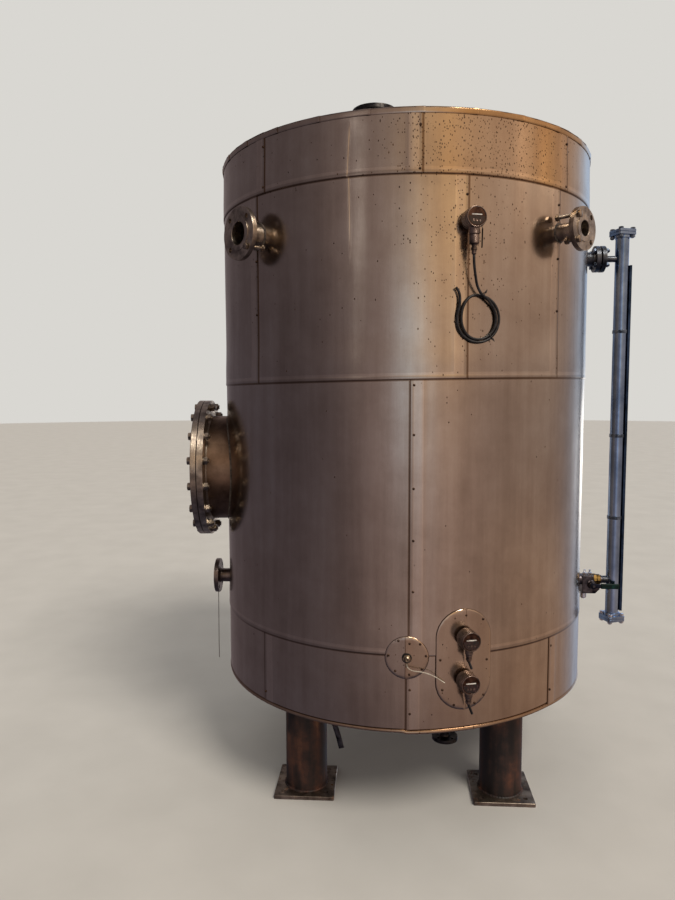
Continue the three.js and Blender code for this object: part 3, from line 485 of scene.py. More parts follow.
def stainless_sheet():
    """Bright sheet, bare metal: a smooth cold-rolled skin with a faint vertical grain, clouded by rubbing
    and weather into brown patches, with rust specks. By the laps a painted shade, with some dirt, darkens
    the gaps and creases, and a painted highlight lightens the raised lap strip; where the warmth value is
    high a painted warm reflection tints the sheet golden. The clouds are 430 mm across, the runs 67 mm wide
    and 1.2 m tall, the blotches 90 mm across and the dents 200 mm. The grain, 2.4 mm wide, is drawn coarser
    than the real one of 0.1 mm, which wouldn't show."""
    made, add = finish("stainless_sheet_2b")
    blended = {"out": 2, "data_type": "RGBA"}
    times = {**blended, "blend_type": "MULTIPLY"}
    at = add("TexCoord", out=3)
    over, beyond, specks, warmth = (
        add("Attribute", out=2, attribute_name=key) for key in ("over", "beyond", "specks", "warmth"))
    cloud = add("TexNoise", {"Vector": at, "Scale": 2.3, "Detail": 6.0, "Roughness": 0.6})
    tall = add("Mapping", {0: at, 3: (15.0, 15.0, 0.8)})
    runs = add("TexNoise", {"Vector": tall, "Scale": 1.0, "Detail": 5.0, "Roughness": 0.65})
    mixed = add("Math", {0: runs, 1: 0.9, 2: cloud}, operation="MULTIPLY_ADD")
    blotch = add("TexNoise", {"Vector": at, "Scale": 11.0, "Detail": 5.0, "Roughness": 0.7})
    mixed = add("Math", {0: blotch, 1: 0.5, 2: mixed}, operation="MULTIPLY_ADD")
    tone = add("MapRange", {0: mixed, 1: 0.84, 2: 1.56})
    colour = add("ValToRGB", {0: tone}, stops=[(0.0, "#a3968b"), (0.45, "#b9ada2"), (1.0, "#cdc5bb")])
    # Painted warm reflection: where the warmth value is high the sheet is tinted golden
    painted_gold_tint = add("Mix", {0: warmth, 6: "#ffffff", 7: "#f7d7a8"}, **blended)
    colour = add("Mix", {0: 1.0, 6: colour, 7: painted_gold_tint}, **times)
    # Painted shade, with some dirt, at the laps' edges and creases, and a painted highlight on the raised lap
    # strip
    lap_shade_and_highlight = []
    for distance, to, shades in ((over, OVER_TO, ON_LAP_SHADE_DIRT_AND_HIGHLIGHT), (beyond, BEYOND_TO, UNDER_LAP_SHADE_AND_DIRT)):
        share = add("Math", {0: distance, 1: to}, operation="DIVIDE")
        lap_shade_and_highlight.append(add("ValToRGB", {0: share}, stops=[(mark, (*kept, 1.0)) for mark, *kept in shades]))
    lap_shade_and_highlight = add("Mix", {0: 1.0, 6: lap_shade_and_highlight[0], 7: lap_shade_and_highlight[1]}, **times)
    lap_shade_and_highlight = add("Mix", {0: 1.0, 6: lap_shade_and_highlight, 7: (4.0, 4.0, 4.0, 1.0)}, **times)
    colour = add("Mix", {0: 1.0, 6: colour, 7: lap_shade_and_highlight}, **times)
    # Rust specks: one at most in a cell of 7 mm, 3 to 5 mm wide, and drawn longer down the sheet
    stretched = add("Mapping", {0: at, 3: (1.0, 1.0, 0.62)})
    cells = add("TexVoronoi", {"Vector": stretched, "Scale": 140.0, "Randomness": 1.0}, out=None)
    drawn = add("SeparateColor", {0: cells.outputs[1]}, out=None)
    chance = add("Math", {0: drawn.outputs[0], 1: specks}, operation="LESS_THAN")
    radius = add("MapRange", {0: drawn.outputs[1], 3: 0.19, 4: 0.33})
    inside = add("Math", {0: cells.outputs[0], 1: radius}, operation="LESS_THAN")
    speck = add("Math", {0: chance, 1: inside}, operation="MULTIPLY")
    speck = add("Math", {0: speck, 1: 0.88}, operation="MULTIPLY")
    rust_hue = add("Mix", {0: drawn.outputs[2], 6: "#24170f", 7: "#5c4029"}, **blended)
    colour = add("Mix", {0: speck, 6: colour, 7: rust_hue}, **blended)
    upright_grain = add("Mapping", {0: at, 3: (420.0, 420.0, 22.0)})
    grain = add("TexNoise", {"Vector": upright_grain, "Scale": 1.0, "Detail": 2.0})
    rough = add("MapRange", {0: tone, 3: 0.25, 4: 0.16})
    rough = add("Math", {0: speck, 1: 0.4, 2: rough}, operation="MULTIPLY_ADD")
    dents = add("TexNoise", {"Vector": add("Mapping", {0: at, 3: (5.0, 5.0, 2.0)}), "Scale": 1.0})
    bump = add("Bump", {"Strength": 0.5, "Distance": 0.004, "Height": dents})
    bump = add("Bump", {"Strength": 0.16, "Distance": 0.0003, "Height": grain, "Normal": bump})
    add("OutputMaterial", {"Surface": add("BsdfPrincipled", {
        "Base Color": colour, "Metallic": 1.0, "Roughness": rough, "Normal": bump})})
    return made


def shell(outer, inner, named):
    """A closed thin wall between two grids of points of one size: the outer grid, the inner one, and
    four narrow borders that join their rims. Its named values hold for both grids."""
    rows, columns = outer.shape[:2]
    n = rows * columns
    grid = np.arange(n).reshape(rows, columns)
    rim = np.concatenate([grid[0, :-1], grid[:-1, -1], grid[-1, :0:-1], grid[:0:-1, 0]])
    border = np.stack([rim, np.roll(rim, -1), np.roll(rim, -1) + n, rim + n], -1)
    faces = woven(rows, columns)
    named = {key: np.tile(np.broadcast_to(value, (rows, columns)).ravel(), 2) for key, value in named.items()}
    points = np.concatenate([outer.reshape(-1, 3), inner.reshape(-1, 3)])
    return points, np.concatenate([faces, faces[:, ::-1] + n, border]), named, 0


def spaced(start, end, pitch, *near):
    """Numbers from start to end at about a pitch, with more of them near some places: each near is (place,
    offsets), and the even ones closer than a third of the pitch to those are left out."""
    even = np.linspace(start, end, max(2, int(round((end - start) / pitch)) + 1))
    dense = np.concatenate([spot + np.asarray(offsets, float) for spot, offsets in near] + [[start, end]])
    dense = np.unique(np.round(dense[(dense >= start) & (dense <= end)], 3))
    apart = np.abs(even[:, None] - dense).min(1)
    return np.unique(np.concatenate([dense, even[apart > pitch / 3]]))


# A long crease stands in the two upper bands, left of the front, and catches the light as a streak
CREASE_AT = -15.1


def sheet(number, left, right, band, left_over):
    """One sheet between two seams. On a grid of azimuth and height its radius is the cladding's plus the
    larger of two bead profiles, one across the side edge and one up from the lower edge, plus a slow
    waviness of up to 0.8 mm away from its edges, plus, with q the degrees past the crease, the crease
    -tanh(q / 0.17) exp(-(q / 2.5)^2). It goes on under its neighbours by the tuck."""
    low, high, low_slope, high_slope, lower_bead, upper_cover = band
    per_degree = CLAD_R * math.pi / 180
    tuck = TUCK / per_degree
    edge, lapped = (right, left) if left_over else (left, right)
    start, end = (left - tuck, right) if left_over else (left, right + tuck)
    sign = -1 if left_over else 1
    off = np.array(ACROSS_BEAD) * sign / per_degree
    back = np.array([0, 1.5, 3, 5, 8, 16, 30]) * -sign / per_degree
    back = np.concatenate([back, [tuck * sign * 0.5]])
    azimuth = spaced(start, end, 1.2, (edge, off), (lapped, back), (CREASE_AT, np.linspace(-1.2, 1.2, 25)))
    v = spaced(low, high + (TUCK if upper_cover else 0), 24, (low, UP_FROM_EDGE if lower_bead else [0, 6]),
               (high, [-36, -30, -20, -16, -8, -5, -3, -1.5, 0]))
    azimuth, v = np.meshgrid(azimuth, v, indexing="ij")
    x = CLAD_R * np.sin(np.radians(azimuth))
    lean = np.clip((v - low - 80) / (high - low - 160), 0, 1)
    z = v + x * (low_slope * (1 - lean) + high_slope * lean)
    from_edge, from_lapped = np.abs(azimuth - edge) * per_degree, np.abs(azimuth - lapped) * per_degree
    up, down = v - low, high - v

    # The beads: the side one sinks under the band above, and the lower one is pressed flat by the covers
    side = np.interp(from_edge, ACROSS_BEAD, BEAD_RISE)
    fade = np.clip(down / 18, 0, 1) if upper_cover else 1.0
    side = np.minimum(side, LAP_RISE + (side - LAP_RISE) * fade)
    foot = np.interp(up, UP_FROM_EDGE, EDGE_RISE) if lower_bead else 0 * up
    covered = (azimuth > -5) & (azimuth < 22) & (low == LOW_SEAM)
    foot = np.where(covered, np.minimum(foot, 2.4), foot)
    wave = (np.sin(azimuth / 7.3 + 1.7 * number) * np.sin(z / 143 + 2.9 * number)
            + 0.6 * np.sin(azimuth / 3.1 + z / 390 + number)
            + 0.5 * np.sin(z / 61 + azimuth / 11 + 0.7 * number))
    calm = np.clip(np.minimum(np.minimum(from_edge, from_lapped), np.minimum(up, down)) / 110 - 0.3, 0, 1)
    radius = CLAD_R + np.maximum(side, foot + np.minimum(side, LAP_RISE)) + 0.4 * wave * calm
    above = z > HIGH_SEAM
    q = azimuth - CREASE_AT - np.where(above, (z - 2440) / 260, (2340 - z) / 800)
    crease = -np.tanh(q / 0.17) * np.exp(-(q / 2.5) ** 2)
    radius = radius + crease * np.clip((z - 2080) / 60, 0, 1) * np.clip((2520 - z) / 30, 0, 1)

    # Millimetres from the lap's edge, on the sheet that laps over and on the one that it laps, which place
    # the painted shade and highlight of the laps; the top of a sheet under the band above takes the shade too
    over = np.minimum(from_edge, np.where((up < 24) & ~covered & lower_bead, up, OVER_TO))
    inside_lap = (azimuth < lapped) if left_over else (azimuth > lapped)
    beyond = np.where(inside_lap, 0, from_lapped)
    if upper_cover:
        beyond = np.minimum(beyond, np.clip(down, 0, BEYOND_TO))

    # Specks are thick high up at the front and by the laps, and a painted warm reflection makes the right
    # of the front golden, most in the top band
    ahead = np.clip(np.where(above, 1.3 - np.abs(azimuth - 20) / 26, 1 - np.abs(azimuth - 14) / 20), 0, 1)
    upward = np.clip((z - 1500) / 700, 0, 1)
    specks = 0.004 + 0.02 * upward + np.where(above, 0.95, 0.45) * ahead * upward ** 2
    specks = specks + 0.35 * np.clip(1 - from_edge / 48, 0, 1) * upward
    painted_gold = np.where(above, 0.55 + 0.45 * np.exp(-((azimuth - 39) / 7) ** 2), 0.25 * upward)
    painted_gold = painted_gold + 0.22 * np.clip((800 - z) / 300, 0, 1)
    named = {"over": np.clip(over, 0, OVER_TO), "beyond": np.clip(beyond, 0, BEYOND_TO), "specks": specks,
             "warmth": painted_gold * np.clip((azimuth + 2) / 12, 0, 1) * np.clip((75 - azimuth) / 20, 0.2, 1)}
    return shell(place(azimuth, 0.0, radius, z), place(azimuth, 0.0, radius - SHEET, z), named)


def lathe(profile, sides=64, ring=False):
    """A profile of (radius, along) corners turned about its own axis: (r cos u, r sin u, along), in
    millimetres. ring joins its last corner to its first. The turning value is r + along."""
    r, s = (np.array(column, float)[:, None] for column in zip(*profile))
    u = np.linspace(0, 2 * np.pi, sides, endpoint=False)[None]
    local = np.stack([r * np.cos(u), r * np.sin(u), s + 0 * u], -1).reshape(-1, 3)
    return local, woven(len(r), sides, ring, True), {"turning": np.repeat((r + s)[:, 0], sides)}, 0


def outward(part, azimuth, z, t=0.0, number=0):
    """Lays a part along a radius: its own x to the right, its y up, its length out from the axis."""
    x, y, s = part[0].T
    return place(azimuth, t + x, s, z + y), part[1], part[2], number


def upright(part, azimuth, rho, t=0.0, number=0):
    """Stands a part upright: its own x to the right, its y towards the axis, its length up."""
    x, y, s = part[0].T
    return place(azimuth, t + x, rho - y, s), part[1], part[2], number


def rod(r, low, high, sides=48):
    """A plain round bar from low to high, flat at both ends."""
    return lathe([(0, low), (r, low), (r, high), (0, high)], sides)


NOZZLES = [
    # name, azimuth, z, face, flange, thick, bolt circle, hole, pipe, wall, raised face
    ("front_left", -45, 2190, 862, 95, 18, 150, 9, 44.45, 3.2, 61),
    ("front_right", 45, 2185, 875, 76, 19, 121, 9, 30.15, 2.9, 46),
    ("low_left", -87, 783, 847, 76, 19, 121, 9, 30.15, 2.9, 46),
]
MANWAY_AZIMUTH, MANWAY_Z, MANWAY_NECK = -85, 1285, 228.5
bores = [outward(rod(nozzle[8] + 3, 740, 800), nozzle[1], nozzle[2]) for nozzle in NOZZLES]
bores.append(outward(rod(MANWAY_NECK + 3, 700, 850, 96), MANWAY_AZIMUTH, MANWAY_Z))
BORES_IN = {"upper_left": bores[:1], "upper_right": bores[1:2], "middle_left": bores[2:]}
bright_sheet = stainless_sheet()
BANDS = [
    # name, whether left laps over right, the seam between its halves,
    # (low, high, slopes of the two edges, bead below, covered above), seams in azimuth
    ("top", True, 3.35, (HIGH_SEAM, TOP_EDGE, 0.0, 0.0, True, False),
     (-176.65, -131.65, -86.65, -41.4, 3.35, 48.2, 93.35, 138.35, 183.35)),
    ("upper", True, 15, (MID_SEAM, HIGH_SEAM, MID_SLOPE, 0.0, True, True),
     (-165, -105, -45, 15, 45, 105, 150, 195)),
    ("middle", False, 0.45, (LOW_SEAM, MID_SEAM, 0.0, MID_SLOPE, True, True), (-179.55, 0.45, 180.45)),
    ("bottom", False, -0.2, (433.0, LOW_SEAM, 0.0, 0.0, False, True),
     (-180.2, -134, -89, -44, -0.2, 44.1, 89, 134, 179.8)),
]
# The bottom sheet right of the front seam hangs askew
ASKEW_FROM, ASKEW_BAND = -0.2, (431.0, LOW_SEAM, 0.028, 0.0, False, True)
number = 0
for name, left_over, split, band, seams in BANDS:
    for half in ("left", "right"):
        parts = []
        for left, right in zip(seams[:-1], seams[1:]):
            if (left < split - 1) == (half == "left"):
                hung = ASKEW_BAND if left == ASKEW_FROM else band
                parts.append(sheet(number, left, right, hung, left_over))
                number += 1
        where = "%s_%s" % (name, half)
        piece("sheets_" + where, parts, [bright_sheet], ["cladding_" + where],
              holes=BORES_IN.get(where, ()))


# Screws: low-domed stainless self-drilling screws with a recess in the head, on thin rubber washers,
# brown with rust round their edges.
screw_steel = coat("rusted_screw_steel", 240.0, 4.0, [(0.4, "#2c1b14"), (0.6, "#5b4332")], (0.75, 0.45),
                   {"Metallic": 0.6})
SCREW = [(0, -1.0), (4.4, -1.0), (4.6, 0.6), (4.2, 0.9), (3.9, 1.3), (2.8, 2.1), (1.6, 2.5), (1.3, 1.4),
         (0, 1.3)]
PROUD, FLUSH, COVER_LIFT = 3, 1.2, 5.2
SCREWS_SEEN = [
    # azimuth, height, and how far the sheet there stands out
    (2.7, 2493, PROUD), (2.6, 2352, 4), (47.6, 2502, PROUD), (47.5, 2353, 4), (-42.0, 2501, PROUD),
    (-42.1, 2359, 4), (14.5, 2273, PROUD), (14.4, 2122, PROUD), (44.4, 2282, PROUD), (44.4, 2092, PROUD),
    (44.5, 1907, PROUD), (-45.6, 2100, PROUD), (-45.6, 1905, PROUD), (1.5, 1640, FLUSH),
    (1.5, 1471, FLUSH), (1.5, 1286, FLUSH), (1.5, 1105, FLUSH), (1.5, 926, FLUSH), (0.8, 575, FLUSH),
    (0.85, 488, FLUSH), (-43.5, 465, PROUD), (45.2, 662, FLUSH), (45.0, 492, PROUD),
]
SCREWS_BEHIND = [(s - 0.7, z, PROUD) for s in (-176.65, -131.65, -86.65, 93.35, 138.35)
                 for z in (2352, 2425, 2497)]
SCREWS_BEHIND += [(s - 0.6, z, PROUD) for s in (-165, -105, 105, 150) for z in (1730, 1905, 2095, 2275)]
SCREWS_BEHIND += [(181.5, z, FLUSH) for z in (760, 926, 1105, 1286, 1471, 1620)]
SCREWS_BEHIND += [(s + 0.6, z, PROUD) for s in (-179.6, -134, -89, 89, 134) for z in (480, 570, 655)]
# (t, z) round the round cover, and (azimuth, z) round the long one
ROUND_COVER_SCREWS = [(-29.7, 752.8), (9.2, 743.3), (46, 741.4), (66.6, 698.9), (52.4, 652), (8.4, 632.3),
                      (-40.1, 644.3), (-64.3, 699.2)]
LONG_COVER_SCREWS = [(15.4, 839), (20.2, 820), (8.6, 683), (21.4, 673), (9.2, 575), (12.3, 518),
                     (20.6, 545), (18.0, 519)]


def screw(azimuth, z, out, t=0.0):
    """A screw on the sheet, which is out from the tank's axis there."""
    points, *rest = outward(lathe(SCREW, 20), azimuth, z, t)
    return (points + step(azimuth, 0.0, out, 0.0), *rest)


cover_screws = [(0, t, z) for t, z in ROUND_COVER_SCREWS]
cover_screws += [(HEAD_AZIMUTH, CLAD_R * math.sin(math.radians(a - HEAD_AZIMUTH)), z)
                 for a, z in LONG_COVER_SCREWS]
screws = [screw(azimuth, z, CLAD_R + lift) for azimuth, z, lift in SCREWS_SEEN]
screws += [screw(azimuth, z, math.sqrt((CLAD_R + COVER_LIFT) ** 2 - t ** 2), t)
           for azimuth, t, z in cover_screws]
screws += [screw(azimuth, z, CLAD_R + lift) for azimuth, z, lift in SCREWS_BEHIND]
piece("cladding_screws", screws, [screw_steel])


# Roof: eight stainless gores on a shallow cone, each lapping over the next, a round cap over the peak,
# and a folded rim strip in short lengths round the top band.
RIM_R, RIM_TOP, ROOF_R, ROOF_APEX, GORES, RIM_LENGTHS = 777.9, 2551.0, 778.4, 2640.0, 8, 27
RIM_FROM, RIM_PITCH = 3.9, 360 / RIM_LENGTHS
ALONG_RIM = np.array([-0.02, 0, 0.03, 0.2, 0.4, 0.6, 0.8, 0.94, 0.97, 1.0])
DOWN_RIM = np.array([-0.6, 0.4, 2, 6, 14, 18, 19.4, 20.2])
ROOF_NOZZLE_T, ROOF_NOZZLE_RHO = -120.0, 360.0


def cone(r):
    """The height of the roof's cone at a radius."""
    return RIM_TOP + (ROOF_APEX - RIM_TOP) * (1 - r / ROOF_R)


roof_parts = []
for k in range(GORES):
    start, end = 45 * k + 3.35, 45 * k + 48.35
    r = np.array([96, 110, 150, 230, 330, 440, 550, 650, 720, 760, 772, 776, 777.6, ROOF_R])
    r, share = np.meshgrid(r, np.array([0, 0.04, 0.15, 0.3, 0.5, 0.7, 0.85, 0.94, 1.0]), indexing="ij")
    tuck = np.degrees(24 / r)
    azimuth = start - tuck + (end - start + tuck) * share
    gap = (end - azimuth) * np.pi / 180 * r
    lift = np.interp(gap, [0, 1, 4, 10, 14, 30, 45], [1.3, 3.0, 4.2, 4.2, 1.3, 1.3, 0])
    sag = 2.0 * np.sin(np.pi * share) * np.sin(np.pi * r / 778) ** 2
    z = cone(r) + lift - sag - np.interp(r, [772, ROOF_R], [0, 1.5])
    # The gap from each gore's lapping edge places the sheet's painted lap shade and highlight
    named = {"over": np.clip(gap, 0, OVER_TO), "beyond": BEYOND_TO, "specks": 0.1}
    roof_parts.append(shell(place(azimuth, 0.0, r, z), place(azimuth, 0.0, r, z - SHEET), named))
cap = lathe([(0, 2647.5), (60, 2642), (104, 2636.5), (108, 2634), (109, 2630.5), (107.8, 2630), (106, 2632),
             (0, 2644)], 72)
cap[2].update(over=OVER_TO, beyond=BEYOND_TO)
roof_parts.append(upright(cap, 0, 0.0))
rim_parts = []
for k in range(RIM_LENGTHS):
    azimuth, z = np.meshgrid(RIM_FROM + RIM_PITCH * (k + ALONG_RIM), RIM_TOP - DOWN_RIM, indexing="ij")
    share = (azimuth - RIM_FROM) / RIM_PITCH - k
    lift = np.interp(share, [-0.02, 0.9, 0.94, 1.0], [-1.4, -0.9, 0.5, 0.5])
    fold = np.interp(RIM_TOP - z, [-0.6, 0.4, 2, 6, 18, 20.2], [-2.2, -0.6, 0, 0.2, 0, -0.7])
    # Painted shade darkens the last 3 mm of each length, at its lapping edge, and a painted warm reflection
    # lies right of the front
    over = np.clip((1 - share) * RIM_PITCH * 13.6, 0, OVER_TO)
    named = {"over": np.where(over < 3, over, OVER_TO), "beyond": BEYOND_TO, "specks": 0.05,
             "warmth": np.clip((azimuth - 2) / 12, 0, 1) * np.clip((75 - azimuth) / 20, 0.1, 1)}
    outer, inner = (place(azimuth, 0.0, RIM_R + lift + fold - inset, z) for inset in (0.0, SHEET))
    rim_parts.append(shell(outer, inner, named))
roof_bore = upright(rod(33, 2500, 2700), 0, ROOF_NOZZLE_RHO, ROOF_NOZZLE_T)
piece("roof_gores", roof_parts, [bright_sheet], ["roof_cover"], holes=[roof_bore])
piece("roof_rim", rim_parts, [bright_sheet])


# Flanges and pipes: forged and machined stainless steel, stained brown by weather, with the rings of
# the lathe on their faces.
def soft(profile, r=1.0, ring=False):
    """A profile with its corners rounded. Each corner C becomes five points: two on either side at r and
    at 1.5 r along its edges, and the middle of the curve (1-u)^2 A + 2u(1-u) C + u^2 B."""
    p = np.array(profile, float)
    made = [] if ring else [p[:1]]
    for i in range(len(p)) if ring else range(1, len(p) - 1):
        before, here, after = p[i - 1], p[i], p[(i + 1) % len(p)]
        back, on = np.linalg.norm(before - here), np.linalg.norm(after - here)
        near = min(r, 0.3 * back, 0.3 * on)
        a, b = (before - here) / back, (after - here) / on
        made.append(here + near * np.array([1.5 * a, a, (a + b) / 4, b, 1.5 * b]))
    if not ring:
        made.append(p[-1:])
    return np.concatenate(made).tolist()


def turned(profile, r, sides, ring=False):
    """A profile with its corners rounded, turned about its own axis."""
    return lathe(soft(profile, r, ring), sides, ring)


def disc(r, low, high, edge, sides):
    """A round bar from low to high whose rims are rounded by edge."""
    return turned([(0, low), (r, low), (r, high), (0, high)], edge, sides)


def circle_of(radius, count=4, first=45.0):
    """Places (right, up) spaced evenly on a circle, from an angle in degrees."""
    a = np.radians(first + 360 / count * np.arange(count))
    return list(zip(radius * np.cos(a), radius * np.sin(a)))


def bead(azimuth, z, r, across=5.0, number=1, lift=0.0):
    """A bead of sealant round a pipe where it meets the cladding: a ring that follows the round wall, at
    rho = sqrt(R^2 - t^2), its section an oval."""
    u = np.linspace(0, 2 * np.pi, 73)
    reach = r + across * 0.2
    t, up = reach * np.cos(u), reach * np.sin(u)
    path = place(azimuth, t, np.sqrt((CLAD_R + lift + 0.6) ** 2 - t ** 2), z + up)
    return along(path, across * 0.8, across * 0.5, 10, ends=False, number=number)


# The low left flange is browner than the two upper ones. Sealant: grey silicone, dull and dirty.
flange_steel = metal("stained_forged_stainless", "#7d746c", "#cbbfae", 0.3, 22.0, turning=1.4, rust=0.2)
flange_brown = metal("brown_forged_stainless", "#5b5352", "#978b83", 0.3, 22.0, turning=1.4, rust=0.2)
sealant = coat("grey_sealant", 90.0, 4.0, [(0.35, "#2b2523"), (0.7, "#6b5e54")], 0.7)
for name, azimuth, z, face, flange_r, thick, circle, hole, pipe_r, wall, raised in NOZZLES:
    bore, front = pipe_r - wall, face - 2
    back = front - thick
    profile = [(bore, 701), (pipe_r, 701), (pipe_r, back - 6), (pipe_r + 5, back), (flange_r, back),
               (flange_r, front), (raised, front), (raised, face), (bore + 1.5, face), (bore, face - 1.5)]
    body = outward(turned(profile, 1.2, 96, True), azimuth, z)
    holes = [outward(rod(hole, face - 40, face + 10, 32), azimuth, z + up, t)
             for t, up in circle_of(circle / 2)]
    stained = flange_brown if name == "low_left" else flange_steel
    piece("flange_" + name, [body, bead(azimuth, z, pipe_r, 6.0)], [stained, sealant],
          ["nozzle_" + name], holes=holes)


# Bolts: zinc plated steel gone dull, with hexagon heads and nuts, the shanks threaded. Three of them
# were left hanging loose in the holes of the two upper flanges.
def hexagon(flats, low, high, sides=48):
    """A hexagon head. Its radius at angle u is (flats / 2) / cos(u mod 60 - 30 degrees), and its two
    rims are turned off at 30 degrees, so that they dip by the radius past 0.95 flats / 2, times 0.577."""
    u = np.linspace(0, 2 * np.pi, sides, endpoint=False)
    a = flats / 2
    r = a / np.cos(np.mod(u, np.pi / 3) - np.pi / 6)
    dip = (r - 0.95 * a) * 0.577
    rows = [(0, low), (0.95 * a, low), (r, low + dip), (r, high - dip), (0.95 * a, high), (0, high)]
    local = np.concatenate([np.stack([r * np.cos(u), r * np.sin(u), s + 0 * u], -1) for r, s in rows])
    return local, woven(len(rows), sides, False, True), {}, 0


def thread(r, low, high, pitch=2.0, sides=20):
    """A threaded shank: its radius at angle u and length s is r less 0.55 of the pitch times a triangle
    wave of s / pitch - u / 2 pi, and it closes on its axis at both ends."""
    s = np.arange(low, high + pitch / 8, pitch / 4)
    u = np.linspace(0, 2 * np.pi, sides, endpoint=False)
    s, u = np.meshgrid(s, u, indexing="ij")
    wave = np.abs(np.mod(s / pitch - u / (2 * np.pi), 1) * 2 - 1)
    radius = r - 0.55 * pitch * wave
    radius[[0, -1]] = 0
    s[0], s[-1] = s[1], s[-2]
    local = np.stack([radius * np.cos(u), radius * np.sin(u), s], -1)
    return local.reshape(-1, 3), woven(*s.shape, False, True), {}, 0


dull_zinc = metal("dulled_zinc_plate", "#6f6459", "#b9ab99", 0.3, 60.0, rust=0.4)
LOOSE_BOLTS = [
    # name, its flange, the hole's side and height (1 right or up), where the bolt ends
    ("left", NOZZLES[0], 1, -1, 784),
    ("right_high", NOZZLES[1], -1, 1, 784),
    ("right_low", NOZZLES[1], -1, -1, 822),
]
for name, (_, azimuth, z, face, _, _, circle, *_), side, up, end in LOOSE_BOLTS:
    offset = circle / 2 * math.sqrt(0.5)
    front = face - 0.7
    parts = [thread(7, end, front), hexagon(22, front, front + 9), hexagon(22, end + 3, end + 15)]
    parts = [outward(part, azimuth, z + up * offset, side * offset) for part in parts]
    piece("hanging_bolt_" + name, parts, [dull_zinc], ["loose_bolt_" + name])


# Roof nozzle: a like flange of darkened steel, standing upright through the roof in a collar of sealant,
# and the drain's small flange, which hangs under the front of the tank. The steel's darkness is painted
# shade, which the drain has under the tank; the roof flange shares it.
flange_dark = metal("dark_forged_stainless_painted_shade", "#26262b", "#5a5856", 0.34, 30.0, turning=1.4, rust=0.1)
profile = [(27, 2480), (30.15, 2480), (30.15, 2676), (34, 2682), (85, 2682), (85, 2698), (56, 2698),
           (56, 2700), (28, 2700), (27, 2699)]
holes = [upright(rod(8, 2670, 2710, 32), 0, ROOF_NOZZLE_RHO - up, ROOF_NOZZLE_T + t)
         for t, up in circle_of(65)]
roof_z = cone(math.hypot(ROOF_NOZZLE_T, ROOF_NOZZLE_RHO))
collar = [(30.3, roof_z - 12), (52, roof_z - 10), (46, roof_z + 3), (33, roof_z + 9), (30.3, roof_z + 9)]
piece("roof_flange", [upright(turned(profile, 1.2, 96, True), 0, ROOF_NOZZLE_RHO, ROOF_NOZZLE_T),
                      upright(turned(collar, 1.0, 64, True), 0, ROOF_NOZZLE_RHO, ROOF_NOZZLE_T, 1)],
      [flange_dark, sealant], ["roof_nozzle"], holes=holes)
DRAIN_T, DRAIN_RHO = 160.0, 500.0
profile = [(14, 450), (16.85, 450), (16.85, 284), (20, 278), (50, 278), (50, 264), (33, 264), (33, 262),
           (14.5, 262), (14, 262.6)]
holes = [upright(rod(5.5, 255, 290, 24), 0, DRAIN_RHO - up, DRAIN_T + t) for t, up in circle_of(37.5)]
piece("drain_flange", [upright(turned(profile, 1.0, 72, True), 0, DRAIN_RHO, DRAIN_T)], [flange_dark],
      ["drain_nozzle"], holes=holes)


# Bottom cover: a shallow dished sheet whose edge is rolled into a round lip, flush with the lowest band
# and hooked up inside it. The lip sags right of the front seam and climbs from there, as the sheet above
# it does.
LIP = [(0, 362), (300, 384), (600, 405), (752, 415.4), (768, 416.4), (773.2, 417.2), (775.4, 418.6),
       (776.2, 421), (775.8, 425), (774.8, 428.6), (773.2, 430.6), (771, 431.6), (770.8, 447), (769.8, 447),
       (769.6, 432), (768, 421), (752, 418.4), (600, 407.2), (300, 386.2), (0, 364.2)]
lip = lathe(LIP, 360)
x, y, z = lip[0].T
lip_r = np.hypot(x, y)
# The lip's top, just under the band, takes the sheet's painted shade, and its outer roll more painted warm
# reflection
lip[2].update(over=OVER_TO, specks=0.12, beyond=np.where(z > 428, 0.0, BEYOND_TO),
              warmth=np.where(lip_r > 765, 0.55, 0.2))
slant = np.interp(np.degrees(np.arctan2(x, -y)), [-180, -1.2, -0.2, 26, 44, 70, 180],
                  [0, 0, -4.5, 6, 9, 0, 0])
z += slant * np.clip((lip_r - 700) / 60, 0, 1)
piece("bottom_sheet", [upright(lip, 0, 0.0)], [bright_sheet], ["bottom_cover"])


